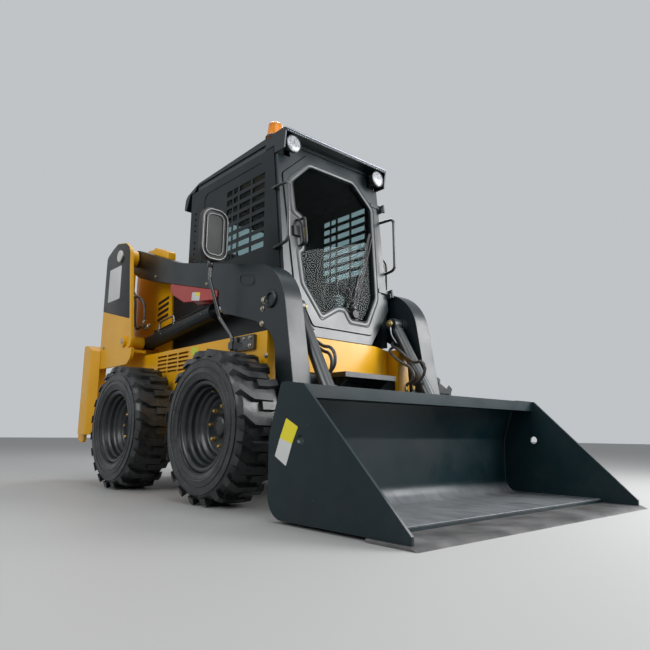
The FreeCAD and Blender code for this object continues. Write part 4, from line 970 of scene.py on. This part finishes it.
def hoseTrim():
    for body, groups in hoseLook["ends"].items():
        ends = [fitting(at(*place), way, size, material)
                for way, size, material, places in groups for place in places]
        settle(joined(body + "HoseEnds", ends), body, angle=30)
    half, high = hoseLook["clampHalf"], hoseLook["clampHigh"]
    for side, name in bothSides:
        y = side * hoseLook["barrelY"]
        bands = [tubeOf("band", [at(x, y - side * half, z), at(x, y, z + high), at(x, y + side * half, z)], 3.2)
                 for x, z in hoseLook["clamps"]]
        clamps = coat(joined("tubeClamps" + name, bands), "satinSteel")
        settle(clamps, "lift_barrels", angle=50)
        ports = [fitting(at(x, side * hoseLook["portY"], z), (0, 0, 1), 0.7, "satinSteel")
                 for x, z in hoseLook["ports"]]
        pipe = tubeOf("pipe", [at(x, side * y, z) for x, y, z in hoseLook["portPipe"]], 7)
        ports.append(coat(pipe, "satinSteel"))
        settle(joined("liftPorts" + name, ports), "lift_barrels", angle=35)
        x, y, z = hoseLook["pinCapPlace"]
        cap = coat(turned("tiltPinCap" + name, hoseLook["pinCap"], 24), "brassPlate")
        settle(move(cap, facing(at(x, side * y, z), (0, -side, 0))), "arms", angle=40)
        pipe = tubeOf("tiltPipe" + name, [at(x, side * y, z) for x, y, z in hoseLook["tiltPipe"]], 5.0)
        settle(coat(pipe, "satinSteel"), "arms", angle=60)


hoseTrim()
print("hoses ready")


# Mirrors: raised double rim on the back, glass in front of the driver
mirrorLook = {
    "low": 1333, "high": 1650, "inner": 605, "outer": 785, "round": 70, "backX": 325.2, "glassX": 291.3,
    "rims": ((3, 12, 9), (30, 10, 7)),  # inset, width, thickness
    "glassInset": 9, "joint": [(0, 15), (3, 17), (40, 17), (44, 14)], "jointPlace": (282, 690, 1300),
}


def mirrorOutline(side, inset):
    low, high = sorted((side * (mirrorLook["inner"] + inset), side * (mirrorLook["outer"] - inset)))
    foot, top = mirrorLook["low"] + inset, mirrorLook["high"] - inset
    return [(low, foot), (high, foot), (high, top), (low, top)]


def mirrorTrim():
    for side, name in bothSides:
        rims = []
        for inset, wide, thick in mirrorLook["rims"]:
            ring = plateOf("ring", mirrorOutline(side, inset), thick, mirrorLook["round"] - inset, wide)
            rims.append(move(coat(ring, "glossPlastic"), facing(at(mirrorLook["backX"], 0, 0), (1, 0, 0))))
        settle(joined("mirrorRims" + name, rims), "chassis", 2.5, 30, 3)
        inset = mirrorLook["glassInset"]
        glass = plateOf("mirrorGlass" + name, mirrorOutline(side, inset), 1.5, mirrorLook["round"] - inset)
        move(coat(glass, "mirrorGlass"), facing(at(mirrorLook["glassX"], 0, 0), (1, 0, 0)))
        settle(glass, "chassis", 0.4)
        x, y, z = mirrorLook["jointPlace"]
        joint = coat(turned("mirrorJoint" + name, mirrorLook["joint"], 20), "glossPlastic")
        settle(move(joint, facing(at(x, side * y, z), (0, 0, 1))), "chassis", 1.0)


mirrorTrim()


# Seat: sewn cushions with a crowned top and two arm rests, in place of the plain solids
seatLook = {
    "cushions": {
        "cushion": {"low": (-236, -222, 1024), "high": (118, 222, 1128), "seams": (-110, 110), "crown": 22,
                    "lean": 0.05},
        "back": {"low": (-340, -208, 1130), "high": (-256, 208, 1628), "seams": (-105, 105), "crown": 20,
                 "lean": -0.10},
        "foot": {"low": (-330, -214, 1026), "high": (-246, 214, 1140), "seams": (-105, 105), "crown": 6,
                 "lean": 0.0},
    },
    "cuts": (7, 8), "seamHalf": 5, "seamDeep": 0.009, "edge": 16,
    "rest": ((-305, 246.5, 1291), (8, 298.5, 1336)), "restEdge": 14,
    "post": ((-285, 215, 1315), (-285, 250, 1315)), "postRadius": 15,
}


def cutAt(place, normal):
    selectWhole()
    bpy.ops.mesh.bisect(plane_co=place, plane_no=normal)


def cushionOf(name, look, upright):
    low, high = look["low"], look["high"]
    piece = barOf(name, low, high, seatLook["edge"])
    centre = at(*[(a + b) / 2 for a, b in zip(low, high)])
    half = [(b - a) / 2000 for a, b in zip(low, high)]
    long, face = (2, 0) if upright else (0, 2)
    editMode(True)
    for axis, cuts in zip((long, 1), seatLook["cuts"]):
        for step in range(1, cuts):
            place = centre.copy()
            place[axis] += half[axis] * (2.0 * step / cuts - 1)
            cutAt(place, [1 if k == axis else 0 for k in range(3)])
    for seam in look["seams"]:
        for shift in (-seatLook["seamHalf"], 0, seatLook["seamHalf"]):
            cutAt((centre.x, (seam + shift) / 1000, centre.z), (0, 1, 0))
    editMode(False)
    for vert in piece.data.vertices:
        away = vert.co - centre
        share = [max(0.0, 1 - abs(away[k] / half[k]) ** 2.4) for k in range(3)]
        if away[face] > half[face] * 0.55:  # only the face that is sat on or leant against
            vert.co[face] += look["crown"] / 1000 * (share[long] * share[1]) ** 0.6
            if min(abs(vert.co.y - seam / 1000) for seam in look["seams"]) < 0.001:
                vert.co[face] -= seatLook["seamDeep"]
        vert.co[face] += look["lean"] * away[long]
    makeActive(piece)
    finer = piece.modifiers.new("round", "SUBSURF")
    finer.levels = finer.render_levels = 2
    bpy.ops.object.modifier_apply(modifier="round")
    return coat(piece, "seatVinyl")


def seatParts():
    parts = {}
    for name, look in seatLook["cushions"].items():
        parts[name] = cushionOf("seat" + name.title(), look, name != "cushion")
        settle(parts[name], "chassis", angle=60)
    rests = []
    for side in (-1, 1):
        (x0, y0, z0), (x1, y1, z1) = seatLook["rest"]
        low, high = sorted((side * y0, side * y1))
        pad = barOf("rest", (x0, low, z0), (x1, high, z1), seatLook["restEdge"])
        post = tubeOf("post", [at(x, side * y, z) for x, y, z in seatLook["post"]], seatLook["postRadius"])
        rests += [coat(pad, "seatVinyl"), coat(post, "darkPlastic")]
    rests = settle(joined("seatRests", rests), "chassis", angle=40)
    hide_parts("seat")
    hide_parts("seat")
    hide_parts("seat")


seatParts()
print("mirrors and seat ready")


# Rear: tail lamps, hood vents, hood and door pulls, and a screen behind the door's slots
rearLook = {
    "lampX": -1500.5, "lampY": 705, "lamps": ((900, "lampRed"), (840, "beaconGlass")),
    "lens": [(0, 22), (7, 22), (11, 17), (12, 4)],
    "bezel": [(0, 29), (5, 29), (9, 26), (9, 23), (6, 22.5)],
    "screen": [(-372, 610), (372, 610), (372, 1215), (-372, 1215)], "screenX": -1330,
    "doorPull": [(-1352, -372, 900), (-1384, -372, 905), (-1388, -372, 930), (-1388, -372, 1010),
                 (-1384, -372, 1035), (-1352, -372, 1040)],
    "latch": ((-1364, -396, 1056), (-1352, -348, 1110)),
    "ribs": 6, "firstRib": -1120, "ribPitch": 52, "ribWay": (150, 22), "ribHigh": (1425, 1428),
    "hoodSlope": 0.0787, "hoodFoot": -1230, "ribLift": 0.004,
    "hoodPull": [(-1268, -60, 1421), (-1276, -58, 1446), (-1278, -30, 1452), (-1278, 30, 1452),
                 (-1276, 58, 1446), (-1268, 60, 1421)],
}


def tailLamps():
    lamps, bezels = [], []
    for side in (-1, 1):
        for z, material in rearLook["lamps"]:
            matrix = facing(at(rearLook["lampX"], side * rearLook["lampY"], z), (-1, 0, 0))
            lamps.append(move(coat(turned("tailLens", rearLook["lens"], 28), material), matrix))
            bezels.append(move(coat(turned("tailBezel", rearLook["bezel"], 28), "darkPlastic"), matrix))
    settle(joined("tailLamps", lamps), "chassis", angle=50)
    settle(joined("tailBezels", bezels), "chassis", angle=50)


def rearDoorTrim():
    screen = coat(plateOf("doorScreen", rearLook["screen"], 2, 10), "grillePaint")
    settle(move(screen, facing(at(rearLook["screenX"], 0, 0), (-1, 0, 0))), "rear_door")
    pull = coat(tubeOf("doorPullRear", [at(*point) for point in rearLook["doorPull"]], 7), "darkPlastic")
    latch = coat(barOf("doorLatch", *rearLook["latch"], 4), "darkPlastic")
    settle(joined("rearDoorPull", [pull, latch]), "rear_door", angle=40)


def hoodTrim():
    (half, long), (low, high) = rearLook["ribWay"], rearLook["ribHigh"]
    ribs = []
    for number in range(rearLook["ribs"]):
        x = rearLook["firstRib"] + number * rearLook["ribPitch"]
        rib = coat(barOf("rib", (x, -half, low), (x + long, half, high), 1), "grillePaint")
        for vert in rib.data.vertices:
            along = vert.co.x - at(rearLook["hoodFoot"], 0, 0).x
            vert.co.z += rearLook["hoodSlope"] * along + rearLook["ribLift"]
        ribs.append(rib)
    settle(joined("hoodVents", ribs), "hood", angle=30)
    grip = tubeOf("hoodPull", [at(*point) for point in rearLook["hoodPull"]], 6)
    settle(coat(grip, "darkPlastic"), "hood", angle=50)


tailLamps()
rearDoorTrim()
hoodTrim()
print("rear ready")
